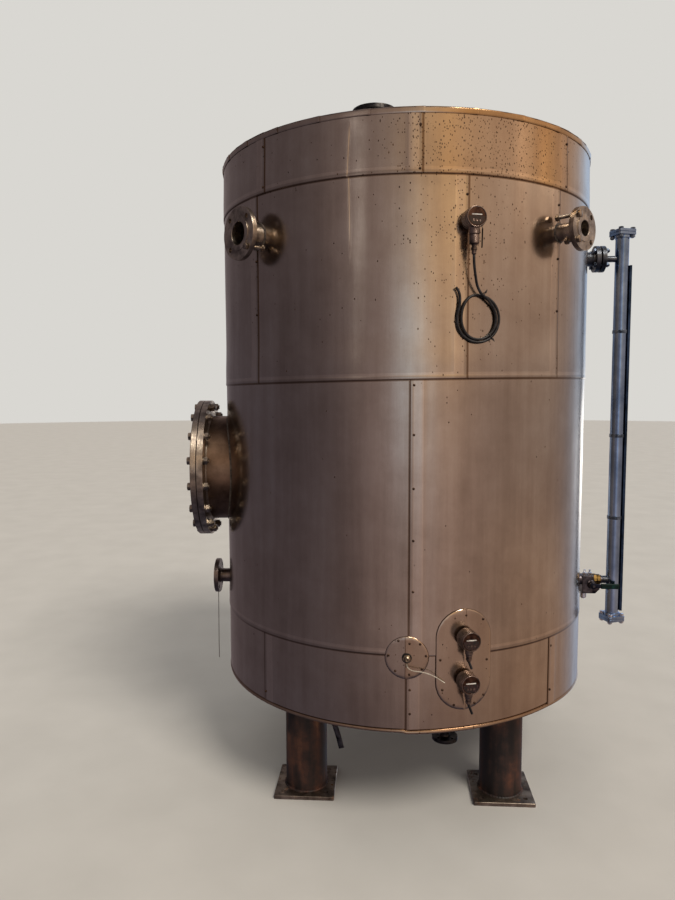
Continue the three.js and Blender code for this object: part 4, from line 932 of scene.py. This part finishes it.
# Legs: 168.3 mm steel pipes with red-oxide primer, sooty and rusting, welded on square plates that have
# lost their paint. The plates have a hole for an anchor bolt near each corner.
def oxide_primer():
    """Brushed primer, dark where soot and oil cover it and orange where rust comes through. The patches
    are 140 mm across, the runs 45 mm wide and 380 mm tall, and the flakes 25 mm. The pits are 5 mm across,
    coarser than the real ones of 1 or 2 mm, which wouldn't show."""
    made, add = finish("red_oxide_primer")
    at = add("TexCoord", out=3)
    drips = add("Mapping", {0: at, 3: (22.0, 22.0, 2.6)})
    patches = add("TexNoise", {"Vector": at, "Scale": 7.0, "Detail": 8.0, "Roughness": 0.68})
    runs = add("TexNoise", {"Vector": drips, "Scale": 1.0, "Detail": 6.0})
    mixed = add("Math", {0: patches, 1: runs}, operation="ADD")
    tone = add("MapRange", {0: mixed, 1: 0.7, 2: 1.3})
    colour = add("ValToRGB", {0: tone}, stops=[
        (0.0, "#0f0e11"), (0.35, "#1c1412"), (0.55, "#33201a"), (0.75, "#4f2e20"), (1.0, "#6e4730")])
    rough = add("MapRange", {0: tone, 3: 0.42, 4: 0.8})
    pits = add("TexNoise", {"Vector": at, "Scale": 210.0, "Detail": 5.0})
    flakes = add("TexNoise", {"Vector": at, "Scale": 40.0, "Detail": 6.0, "Roughness": 0.7})
    bump = add("Bump", {"Strength": 0.4, "Distance": 0.0012, "Height": flakes})
    bump = add("Bump", {"Strength": 0.35, "Distance": 0.0004, "Height": pits, "Normal": bump})
    add("OutputMaterial", {"Surface": add("BsdfPrincipled", {
        "Base Color": colour, "Metallic": 0.0, "Roughness": rough, "Normal": bump})})
    return made


def prism(outline, low, high, edge=0.8):
    """An outline of (x, y) corners raised from low to high, with both rims turned in by edge: rows at the
    middle, the shrunk outline, the outline twice, the shrunk outline and the middle again."""
    outline = np.asarray(outline, float)
    middle = (outline.max(0) + outline.min(0)) / 2
    arm = outline - middle
    shrunk = middle + arm - np.sign(arm) * np.minimum(edge, np.abs(arm))
    still = np.broadcast_to(middle, outline.shape)
    rows = [(still, low), (shrunk, low), (outline, low + edge), (outline, high - edge), (shrunk, high),
            (still, high)]
    local = np.concatenate([np.column_stack([xy, np.full(len(xy), s)]) for xy, s in rows])
    return local, woven(len(rows), len(outline), False, True), {}, 0


def rounded_box(wide, deep, corner, steps=5, turn=0.0):
    """Corners of a rectangle with round corners, turned by an angle in degrees."""
    u = np.radians(np.concatenate([np.linspace(a, a + 90, steps) for a in (0, 90, 180, 270)]))
    x = np.repeat([1, -1, -1, 1], steps) * (wide / 2 - corner) + corner * np.cos(u)
    y = np.repeat([1, 1, -1, -1], steps) * (deep / 2 - corner) + corner * np.sin(u)
    c, s = math.cos(math.radians(turn)), math.sin(math.radians(turn))
    return np.column_stack([x * c - y * s, x * s + y * c])


primer = oxide_primer()
bare_plate = metal("rusting_mill_plate", "#5d534b", "#b3a798", 0.42, 16.0, rust=0.5, rust_hue="#3a2216")
LEG_OFFSET, LEG_R, LEG_TOP = 395.0, 84.15, 520
PLATE, PLATE_THICK, ANCHOR_AT, ANCHOR_R = 240.0, 15.0, 86, 9
pipe = lathe([(0, 12), (LEG_R - 5, 12), (LEG_R, 14), (LEG_R, 60), (LEG_R, 200), (LEG_R, 400),
              (LEG_R, LEG_TOP), (0, LEG_TOP)], 96)
plate = prism(rounded_box(PLATE, PLATE, 5), 0, PLATE_THICK, 1.2)
# The weld: a ring on the foot of the pipe, its section an oval that swells 46 times on the way round
weld_u, weld_v = np.meshgrid(np.linspace(0, 2 * np.pi, 180, endpoint=False),
                             np.linspace(0, 2 * np.pi, 10, endpoint=False), indexing="ij")
weld_r = LEG_R + 6.5 * np.cos(weld_v) + 0.5 * np.sin(46 * weld_u)
weld_z = PLATE_THICK + (5.5 + 0.6 * np.sin(46 * weld_u + 1)) * np.sin(weld_v)
weld_local = np.stack([weld_r * np.cos(weld_u), weld_r * np.sin(weld_u), weld_z], -1).reshape(-1, 3)
weld = (weld_local, woven(180, 10, True, True), {}, 0)
for name, right, front in (("front_left", -1, 1), ("front_right", 1, 1), ("rear_left", -1, -1),
                           ("rear_right", 1, -1)):
    t, rho = right * LEG_OFFSET, front * LEG_OFFSET
    holes = [upright(rod(ANCHOR_R, -10, 30, 32), 0, rho + ANCHOR_AT * b, t + ANCHOR_AT * a)
             for a in (-1, 1) for b in (-1, 1)]
    piece("leg_pipe_" + name, [upright(pipe, 0, rho, t), upright(weld, 0, rho, t)], [primer])
    piece("base_plate_" + name, [upright(plate, 0, rho, t)], [bare_plate], ["leg_" + name],
          holes=holes)


# Strap end: a short end of flat steel bar that hangs askew from the lower lip, dark with oil and soot.
oily_strap = metal("oily_flat_bar", "#1c1d22", "#5a5b62", 0.36, 40.0, rust=0.3)
s = np.linspace(0, 1, 12)
strap_path = place(0, -262 + 28 * s + 2 * np.sin(3 * s), 700 + 1.5 * np.sin(4 * s), 417.5 - 101 * s)
strap = along(strap_path, 10, 1.6, 16, step(0, 0.0, 1.0, 0.0))
piece("hanging_strap", [strap], [oily_strap], ["strap_end"])


# Manway: a rolled neck with a flat flange, a black rubber gasket and a flat cover plate, held by sixteen
# galvanised bolts whose heads are on the cover and whose nuts are behind the flange.
gasket_rubber = coat("black_gasket_rubber", 70.0, 4.0, [(0.4, "#0b0a0a"), (0.7, "#1d1a19")], 0.65)
bright_nuts = metal("galvanised_nuts", "#6e665d", "#b8aea0", 0.3, 50.0, rust=0.35)
neck_steel = metal("browned_neck_plate", "#57463a", "#927a66", 0.42, 7.0, rust=0.1)
MANWAY_FLANGE, MANWAY_CIRCLE = 297.5, 272.0
MANWAY_BORE = MANWAY_NECK - 8
neck = [(MANWAY_BORE, 701), (MANWAY_NECK, 701), (MANWAY_NECK, 846), (MANWAY_BORE, 846)]
collar = [(MANWAY_BORE + 0.1, 845), (MANWAY_NECK + 0.3, 839), (MANWAY_NECK + 7, 847), (MANWAY_FLANGE, 847),
          (MANWAY_FLANGE, 873), (MANWAY_BORE + 0.1, 873)]
gasket = [(MANWAY_BORE + 1, 872.9), (MANWAY_FLANGE - 18, 872.9), (MANWAY_FLANGE - 18, 875.4),
          (MANWAY_BORE + 1, 875.4)]
manway_parts = [outward(turned(profile, r, 144, True), MANWAY_AZIMUTH, MANWAY_Z, 0.0, number)
                for profile, r, number in ((neck, 1.5, 3), (collar, 1.5, 0), (gasket, 0.5, 1))]
piece("manway_flange", [*manway_parts, bead(MANWAY_AZIMUTH, MANWAY_Z, MANWAY_NECK, 7.0, 2)],
      [flange_steel, gasket_rubber, sealant, neck_steel], ["manway_neck"])
cover = outward(disc(MANWAY_FLANGE, 875.4, 899, 2.0, 144), MANWAY_AZIMUTH, MANWAY_Z)
piece("manway_plate", [cover], [flange_steel], ["manway_cover"])
BOLT_AND_NUT = [hexagon(30, 901, 913.5), rod(17, 898.6, 901.4, 32), thread(9.8, 822, 901, 2.5),
                hexagon(30, 828, 844), rod(17, 843.6, 847.3, 32)]
manway_bolts = [outward(part, MANWAY_AZIMUTH, MANWAY_Z + up, t)
                for t, up in circle_of(MANWAY_CIRCLE, 16, 11.25) for part in BOLT_AND_NUT]
piece("manway_bolts", manway_bolts, [bright_nuts])


# Covers over the openings in the cladding: pressed stainless plates in two halves, edges turned to the
# wall. The round one has a gland in its middle, the long one carries the two lower instrument heads.
def cover_half(azimuth, side, low, high, r, lift, laps, painted_warm):
    """Half of a plate with round ends. Down a column of heights its half width is that of the round end
    or of the straight part, and a point at share s of it stands lift above the cladding, less near the
    rim, where it turns down, and a little more where the half laps over the other."""
    bottom, top = low + r, high - r
    turn = np.radians([0, 6, 14, 25, 38, 52, 66, 80, 90])
    straight = np.linspace(bottom, top, 8)[1:] if top > bottom + 1 else []
    z = np.concatenate([bottom - r * np.cos(turn), straight, top + r * np.sin(turn)[1:]])
    outside = np.maximum(np.maximum(bottom - z, z - top), 0)
    wide = np.sqrt(np.maximum(r ** 2 - outside ** 2, 1e-6))
    share = np.array([0, 0.03, 0.09, 0.13, 0.25, 0.45, 0.65, 0.8, 0.9, 0.95, 0.975, 0.99, 1.0])
    z, share = np.meshgrid(z, share, indexing="ij")
    wide, outside = wide[:, None], outside[:, None]
    start = -7.0 if laps else 0.4
    t = np.where(wide > abs(start), start + (wide - start) * share, wide * share)
    rim = r - np.hypot(np.maximum(t, 0), outside)
    rise = lift * np.interp(rim, [0, 1.2, 3, 5, 60], [0.28, 0.7, 0.95, 1.0, 1.0])
    if laps:
        rise = rise + np.interp(t, [-7, -5, 5, 9], [1.1, 1.4, 1.4, 0])
    outer, inner = (place(azimuth, side * t, np.sqrt((CLAD_R + rise - inset) ** 2 - t ** 2), z)
                    for inset in (0.0, SHEET))
    # The last 3 mm at the rim and at the lap's edge take the sheet's painted shade, and warm sets the half's
    # painted warm reflection
    over = np.minimum(rim, t + 7.5) if laps else rim
    return shell(outer, inner, {"over": np.where(over < 3, over, OVER_TO), "beyond": BEYOND_TO,
                                "specks": 0.05, "warmth": painted_warm})


ROUND_COVER_Z, R_ROUND, R_LONG = 692.0, 77.5, 103.0
COVERS = [
    # name, azimuth, low, high, radius of the ends, lift, the half that laps, painted warm reflection on the
    # halves
    ("round", 0, ROUND_COVER_Z - R_ROUND, ROUND_COVER_Z + R_ROUND, R_ROUND, COVER_LIFT, "right", (0.05, 0.4)),
    ("long", HEAD_AZIMUTH, 498.0, 862.0, R_LONG, COVER_LIFT - 0.3, "left", (0.25, 0.25)),
]
for name, azimuth, low, high, r, lift, lapping, painted_warm_halves in COVERS:
    for half, side, painted_warm in (("left", -1, painted_warm_halves[0]), ("right", 1, painted_warm_halves[1])):
        part = cover_half(azimuth, side, low, high, r, lift, half == lapping, painted_warm)
        piece("%s_plate_%s" % (name, half), [part], [bright_sheet],
              ["%s_cover_%s" % (name, half)])

# Gland in the round cover: a rubber washer, a hexagon nut and a domed cap of plated brass, with a flat
# lug behind the wire.
dull_brass = metal("nickel_plated_gland", "#5d5145", "#b9ab94", 0.28, 60.0)
GLAND_CAP = [(0, 793), (11, 793), (11, 797), (7, 800), (4, 800), (3.4, 796), (0, 796)]
gland_parts = [
    outward(disc(12, 700.5, 778, 0.6, 32), 0, ROUND_COVER_Z),
    outward(disc(17.5, 777, 784, 1.2, 48), 0, ROUND_COVER_Z, 0.0, 1),
    outward(hexagon(27, 784, 793), 0, ROUND_COVER_Z),
    outward(turned(GLAND_CAP, 0.8, 48), 0, ROUND_COVER_Z),
    outward(prism(rounded_box(9, 26, 3), 786.5, 788, 0.4), 0, ROUND_COVER_Z - 18),
]
piece("gland_of_round_cover", gland_parts, [dull_brass, gasket_rubber], ["cover_gland"])


# Instrument heads: turned stainless housings with a screwed bezel. The dark face has a white enamel bar
# and three small buttons over a black glass window, left blank. Under each is a neck with a cable gland.
housing_steel = metal("turned_stainless_housing", "#4a423f", "#9d8c83", 0.28, 26.0, turning=1.1, rust=0.1)
face_plate = metal("dark_bezel_plate", "#2b1e1b", "#634b3f", 0.34, 60.0)
# The glass's red and purple tints are painted reflections
display_glass = coat("black_display_glass", 130.0, 3.0,
                     [(0.4, "#0a090c"), (0.62, "#2a1414"), (0.8, "#3a3440")], (0.06, 0.25),
                     {"Coat Weight": 0.5})
label_white = coat("white_enamel_bar", 160.0, 3.0, [(0.3, "#8f8780"), (0.6, "#d8d2ca")], 0.3)


def slab(rows, back, front):
    """A flat plate on a head's face: at each height y it spans from x to x', between two distances from
    the axis."""
    y, left, right = (np.array(column, float)[:, None] for column in zip(*rows))
    x = left + (right - left) * np.linspace(0, 1, 9)[None]
    y = y + 0 * x
    return shell(*(np.stack([x, y, s + 0 * x], -1) for s in (front, back)), {})


HOUSING = [(0, 700.5), (10.5, 700.5), (10.5, 788), (24, 790), (33, 791), (35, 794), (35, 829), (34.2, 830),
           (34.2, 831), (35, 832), (35, 842), (33.5, 845), (31, 845), (30.4, 843), (0, 843)]
WINDOW_R = 27.5
WINDOW = [(y, -math.sqrt(WINDOW_R ** 2 - y ** 2), math.sqrt(WINDOW_R ** 2 - y ** 2))
          for y in np.linspace(-26.5, 2, 14)]
BAR = [(4.5, -17, 17), (5.2, -18, 18), (7.6, -17.5, 17.5), (8.3, -16, 16)]
LONG_NECK = [(0, -118), (5.6, -118), (7.6, -116), (8, -90), (10, -86), (15.5, -84), (16.5, -80), (16.5, -56),
             (15, -55), (15, -53.5), (18, -52.5), (18, -20), (0, -20)]
SHORT_NECK = [(0, -76), (5.6, -76), (8, -73), (8.6, -60), (11, -58), (11.5, -50), (14, -48), (14, -20),
              (0, -20)]
TAG_HOOK = np.array([(22.0, -24.0), (25, -28), (27, -32), (27.2, -37)])
NECK_RHO, TAG_RHO, STUB_LEAN = 822, 826.0, math.radians(22)
HEADS = [
    # name, z, neck, its nut (flats, low, high), lift of the bead, length of the cut cable's end
    ("upper", 2185, LONG_NECK, (19, -104, -95), 1.2, 0),
    ("middle", 765, SHORT_NECK, (20, -70, -62), 4.0, 28),
    ("lower", 613, SHORT_NECK, (20, -70, -62), 4.0, 38),
]
for name, z, neck, (flats, low, high), lift, stub in HEADS:
    parts = [outward(turned(HOUSING, 0.8, 96), HEAD_AZIMUTH, z),
             outward(slab(WINDOW, 842.8, 844.0), HEAD_AZIMUTH, z, 0.0, 1),
             outward(slab(BAR, 842.8, 844.6), HEAD_AZIMUTH, z, 0.0, 2),
             upright(turned([(r, z + s) for r, s in neck], 0.8, 48), HEAD_AZIMUTH, NECK_RHO),
             upright(hexagon(flats, z + low, z + high), HEAD_AZIMUTH, NECK_RHO)]
    parts += [outward(rod(3.6, 843.4, 844.9, 24), HEAD_AZIMUTH, z - 13, t) for t in (-11, 0, 11)]
    parts.append(outward(rod(29.9, 842.4, 843.3, 64), HEAD_AZIMUTH, z, 0.0, 4))
    if name == "upper":
        # A blank tag on a wire hook hangs beside the neck
        s = np.linspace(-34, -96, 9)
        tag = place(HEAD_AZIMUTH, 27 + 0.02 * (s + 34), TAG_RHO, z + s)
        hook = place(HEAD_AZIMUTH, TAG_HOOK[:, 0], TAG_RHO, z + TAG_HOOK[:, 1])
        parts.append(along(tag, 5.5, 1.1, 10, step(HEAD_AZIMUTH, 1.0, 0.0, 0.0), number=3))
        parts.append(along(hook, 1.2, 1.2, 8, number=3))
    if stub:
        s = np.linspace(-3, stub, 8)
        path = place(HEAD_AZIMUTH, s * math.sin(STUB_LEAN), NECK_RHO, z - 76 - s * math.cos(STUB_LEAN))
        parts.append(along(path, 4.5, 4.5, 14, number=3))
    parts.append(bead(HEAD_AZIMUTH, z, 10.5, 5.0, 3, lift))
    piece("head_" + name, parts, [housing_steel, display_glass, label_white, cable_black, face_plate],
          ["instrument_head_" + name])


# Level gauge, upper branch: a flanged pipe stub from the vessel and the gauge's own flanged arm, with a
# thick gasket and four bolts between them.
GAUGE_AZIMUTH, GAUGE_R, BRANCH_HIGH, BRANCH_LOW = 90, 950.0, 2190.0, 774.0
# The dark blue-grey of these fittings and their nuts is painted shade, of a side turned from the light
gauge_nuts = metal("zinc_nuts_painted_shade", "#3c4757", "#8496ad", 0.34, 50.0, rust=0.1)
gauge_steel = metal("stainless_fitting_painted_shade", "#33383f", "#757b83", 0.32, 20.0, turning=1.2, rust=0.05)
stub = [(0, 701), (30.15, 701), (30.15, 824), (35, 830), (56, 830), (56, 848), (0, 848)]
arm = [(0, 854.3), (56, 854.3), (56, 872.3), (19, 872.3), (13.45, 880), (13.45, 926), (0, 926)]
piece("gauge_stub", [outward(turned(stub, 1.2, 72), GAUGE_AZIMUTH, BRANCH_HIGH),
                     bead(GAUGE_AZIMUTH, BRANCH_HIGH, 30.15, 6.0)], [gauge_steel, sealant],
      ["gauge_upper_nozzle"])
arm_parts = [outward(turned(arm, 1.2, 72), GAUGE_AZIMUTH, BRANCH_HIGH),
             outward(disc(44, 847.9, 854.4, 1.0, 72), GAUGE_AZIMUTH, BRANCH_HIGH, 0.0, 1)]
arm_parts += [outward(part, GAUGE_AZIMUTH, BRANCH_HIGH + up, t, 2) for t, up in circle_of(42.0)
              for part in (hexagon(19, 821, 830), thread(6, 825, 888, 1.75), hexagon(19, 872.5, 883))]
piece("gauge_arm", arm_parts, [gauge_steel, gasket_rubber, gauge_nuts], ["gauge_upper_arm"])


# Standpipe of the gauge: a drawn stainless pipe with a square flange at each end, set askew, and a square
# blind cover bolted to each. The lower one's bolts are bright zinc.
# The blue cast of the pipe steel is a painted reflection of cool light, and the bright zinc is lightened
# further by a painted highlight
pipe_steel = metal("drawn_stainless_pipe", "#6f86a8", "#a9c3e6", 0.2, 5.0, (300.0, 300.0, 16.0), rust=0.03)
bright_zinc = metal("bright_zinc_plate", "#b4c2d6", "#e8f1ff", 0.24, 50.0)
CHAMBER_R, CHAMBER_LOW, CHAMBER_HIGH = 28.5, 608.0, 2294.0
END_SIDE, END_CORNER, END_ASKEW = 82.0, 8.0, 18.0
square = rounded_box(END_SIDE, END_SIDE, END_CORNER, 6, END_ASKEW)
pipe_parts = [rod(CHAMBER_R, CHAMBER_LOW, CHAMBER_HIGH, 64), disc(35, 614, 626, 1.5, 64),
              disc(35, 2276, 2288, 1.5, 64), prism(square, 602.1, 613.9), prism(square, 2288.1, 2299.9)]
piece("gauge_pipe", [upright(part, GAUGE_AZIMUTH, GAUGE_R) for part in pipe_parts], [pipe_steel],
      ["gauge_standpipe"])
BLINDS = [
    # name, the plate, the gasket, the bolt heads, their shanks, the nuts (all low and high), their finish
    ("top", (2300.6, 2312), (2299.8, 2300.7), (2312, 2320), (2274, 2319), (2277, 2288), gauge_nuts),
    ("bottom", (590, 601.4), (601.3, 602.2), (582, 590), (579, 624), (614.2, 625), bright_zinc),
]
for name, plate, gasket, head, shank, nut, nuts in BLINDS:
    parts = [upright(prism(square, *plate), GAUGE_AZIMUTH, GAUGE_R),
             upright(rod(36, *gasket), GAUGE_AZIMUTH, GAUGE_R, 0.0, 1)]
    parts += [upright(part, GAUGE_AZIMUTH, GAUGE_R - up, t, 2) for t, up in circle_of(41, 4, END_ASKEW + 45)
              for part in (hexagon(18, *head), thread(5.8, *shank, 1.75, 16), hexagon(18, *nut))]
    piece("gauge_blind_" + name, parts, [pipe_steel, gasket_rubber, nuts],
          ["gauge_%s_cover" % name])


# Indicator rail: an extruded, anodised aluminium rail strapped to the standpipe with three band clamps.
# Behind its window a row of small enamelled rollers shows red up to the level and white above it.
LEVEL, ROLLER = 0.905, 10.0
flag_paint, add = finish("enamelled_rollers")
at = add("TexCoord", out=3)
below = add("Math", {0: add("SeparateXYZ", {0: at}, out=2), 1: LEVEL}, operation="LESS_THAN")
worn = add("TexNoise", {"Vector": at, "Scale": 55.0, "Detail": 4.0})
red = add("ValToRGB", {0: worn}, stops=[(0.3, "#6e1712"), (0.7, "#a5281e")])
white = add("ValToRGB", {0: worn}, stops=[(0.3, "#a9a398"), (0.7, "#ddd8cc")])
flag_hue = add("Mix", {0: below, 6: white, 7: red}, out=2, data_type="RGBA")
add("OutputMaterial", {"Surface": add("BsdfPrincipled", {"Base Color": flag_hue, "Roughness": 0.4})})
rail_alloy = metal("blue_black_anodised_rail", "#1a2636", "#44597a", 0.36, 8.0, (500.0, 500.0, 12.0))
RAIL_LOW, RAIL_HIGH, BAND_WIDE = 636.0, 2161.0, 14
RAIL_BACK = GAUGE_R + CHAMBER_R + 0.3
RAIL_BARS = [(0, 3, 34), (-13, 8, 8), (13, 8, 8)]
rail_parts = [
    upright(prism(rounded_box(wide, 6, 1.5), RAIL_LOW, RAIL_HIGH), GAUGE_AZIMUTH, RAIL_BACK + out, t)
    for t, out, wide in RAIL_BARS]
z, t = np.meshgrid(np.arange(700, 2141, 1.25), np.array([-8.4, -7.6, -4, 0, 4, 7.6, 8.4]), indexing="ij")
bulge = 3.0 * np.sqrt(np.abs(np.sin(np.pi * z / ROLLER))) * (np.abs(t) < 8)
rollers = shell(*(place(GAUGE_AZIMUTH, t, RAIL_BACK + out, z) for out in (6.2 + bulge, 5.0)), {})
rail_parts.append((*rollers[:3], 1))
for z in (1058, 1423, 1877):
    low, high = z - BAND_WIDE / 2, z + BAND_WIDE / 2
    band = [(CHAMBER_R + 0.1, low), (CHAMBER_R + 2.5, low), (CHAMBER_R + 2.5, high), (CHAMBER_R + 0.1, high)]
    latch = prism(rounded_box(6, 12, 1.5), low, high)
    rail_parts.append(upright(turned(band, 0.6, 48, True), GAUGE_AZIMUTH, GAUGE_R, 0.0, 2))
    rail_parts.append(upright(latch, GAUGE_AZIMUTH, GAUGE_R - 6, -33.0, 2))
    ear, faces, named, _ = hexagon(8, -40, -30)
    x, y, s = ear.T
    rail_parts.append((place(GAUGE_AZIMUTH, s, GAUGE_R - 6 + x, z + y), faces, named, 2))
piece("gauge_rail", rail_parts, [rail_alloy, flag_paint, gauge_nuts], ["gauge_indicator"])


# Ball valve on the lower branch: a forged brass block on a pipe stub, with two bolts on top, a drain
# plug below, and a stem that turns in a boss on its front.
valve_metal = metal("tarnished_forged_brass", "#2b2b31", "#706b70", 0.36, 34.0, rust=0.15)
gold_nut = metal("brass_nut", "#3f3119", "#735c35", 0.5, 60.0)
VALVE_R, VALVE_HALF, STEM_Z = 850.0, 25.0, 757.0


def sideways(part, rho, z, number=0):
    """Lays a part across the gauge: its own x outwards, its y up, its length to the right."""
    x, y, s = part[0].T
    return place(GAUGE_AZIMUTH, s, rho + x, z + y), part[1], part[2], number


block = [(810, 715), (868, 715), (887, 734), (887, 746), (861, 746), (861, 795), (810, 795)]
block = np.array([p for a, b in zip(block, block[1:] + block[:1]) for p in np.linspace(a, b, 5)[:-1]])
boss = [(0, -48), (13.6, -48), (15, -46), (15, -30), (19, -26), (19, -24), (0, -24)]
plug = [(0, 688), (9, 688), (9, 691), (13.5, 692), (13.5, 716), (0, 716)]
valve_parts = [
    sideways(prism(block - [VALVE_R, BRANCH_LOW], -VALVE_HALF, VALVE_HALF, 2.0), VALVE_R, BRANCH_LOW),
    outward(disc(24.15, 701, 812, 1.0, 48), GAUGE_AZIMUTH, BRANCH_LOW),
    upright(turned(plug, 1.0, 36), GAUGE_AZIMUTH, 822, 0.0, 1),
    sideways(turned(boss, 0.8, 40), VALVE_R, STEM_Z),
    sideways(disc(6, -66, -46, 0.8, 24), VALVE_R, STEM_Z),
    bead(GAUGE_AZIMUTH, BRANCH_LOW, 24.15, 6.0, 3),
]
valve_parts += [upright(part, GAUGE_AZIMUTH, rho, 0.0, 1) for rho in (826, 849)
                for part in (hexagon(17, 795, 805), thread(5, 796, 818, 1.5))]
piece("valve_block", valve_parts, [valve_metal, bright_zinc, gasket_rubber, sealant],
      ["ball_valve"])
arm_parts = [
    outward(disc(16.85, 861.3, 926, 0.8, 48), GAUGE_AZIMUTH, BRANCH_LOW),
    outward(hexagon(46, 861.3, 877), GAUGE_AZIMUTH, BRANCH_LOW, 0.0, 1),
    outward(hexagon(42, 878, 893), GAUGE_AZIMUTH, BRANCH_LOW, 0.0, 1),
    outward(disc(19, 893, 899, 0.8, 40), GAUGE_AZIMUTH, BRANCH_LOW, 0.0, 2),
]
piece("valve_union", arm_parts, [gauge_steel, gold_nut, valve_metal], ["gauge_lower_arm"])


# Lever: a flat steel bar on the valve's stem, dark with oil, with a dipped green vinyl sleeve on its end,
# dirty and half matt. It turns with the stem.
lever_steel = metal("oiled_lever_steel", "#11141f", "#343846", 0.36, 40.0, rust=0.05)
vinyl = coat("green_vinyl_dip", 60.0, 5.0, [(0.3, "#03100f"), (0.6, "#042825"), (0.8, "#07443e")],
             (0.55, 0.36), {"Specular IOR Level": 0.2})
LEVER_T, LEVER_END, END_CAP = -55.0, 962.0, 3


def lever_bar(start, end, tall, thick, number):
    """A flat bar outwards along the pipe: a rectangle with round corners, carried from start to end. Over
    the end caps, with q the share of the cap from its tip, it grows as sqrt(1 - (1 - q)^2)."""
    curl = END_CAP * (1 - np.cos(np.linspace(0, np.pi / 2, 5)))
    s = np.concatenate([start + curl, np.linspace(start + 8, end - 8, 8), (end - curl)[::-1]])
    q = np.minimum(np.clip(s - start, 0, END_CAP), np.clip(end - s, 0, END_CAP)) / END_CAP
    grow = np.sqrt(np.clip(1 - (1 - q) ** 2, 0, 1))
    section = rounded_box(tall, thick, thick * 0.48, 5)
    ring = section[None] * (1 - (1 - grow)[:, None, None] * np.array([2 * END_CAP / tall, 0.9]))
    points = place(GAUGE_AZIMUTH, LEVER_T + ring[:, :, 1], s[:, None], STEM_Z + ring[:, :, 0])
    ends = [np.repeat(points[i].mean(0)[None, None], points.shape[1], 1) for i in (0, -1)]
    points = np.concatenate([ends[0], points, ends[1]])
    return points.reshape(-1, 3), woven(*points.shape[:2], False, True), {}, number


lever_parts = [
    sideways(turned([(6.3, -48.4), (13, -48.4), (13, -60), (6.3, -60)], 1.0, 40, True), VALVE_R, STEM_Z),
    sideways(hexagon(16, -64.5, -60.2), VALVE_R, STEM_Z),
    lever_bar(VALVE_R + 9, 945, 17.5, 4.0, 0),
    lever_bar(882, LEVER_END, 24, 9.5, 1),
]
piece("valve_handle", lever_parts, [lever_steel, vinyl], ["valve_lever"], body="lever")
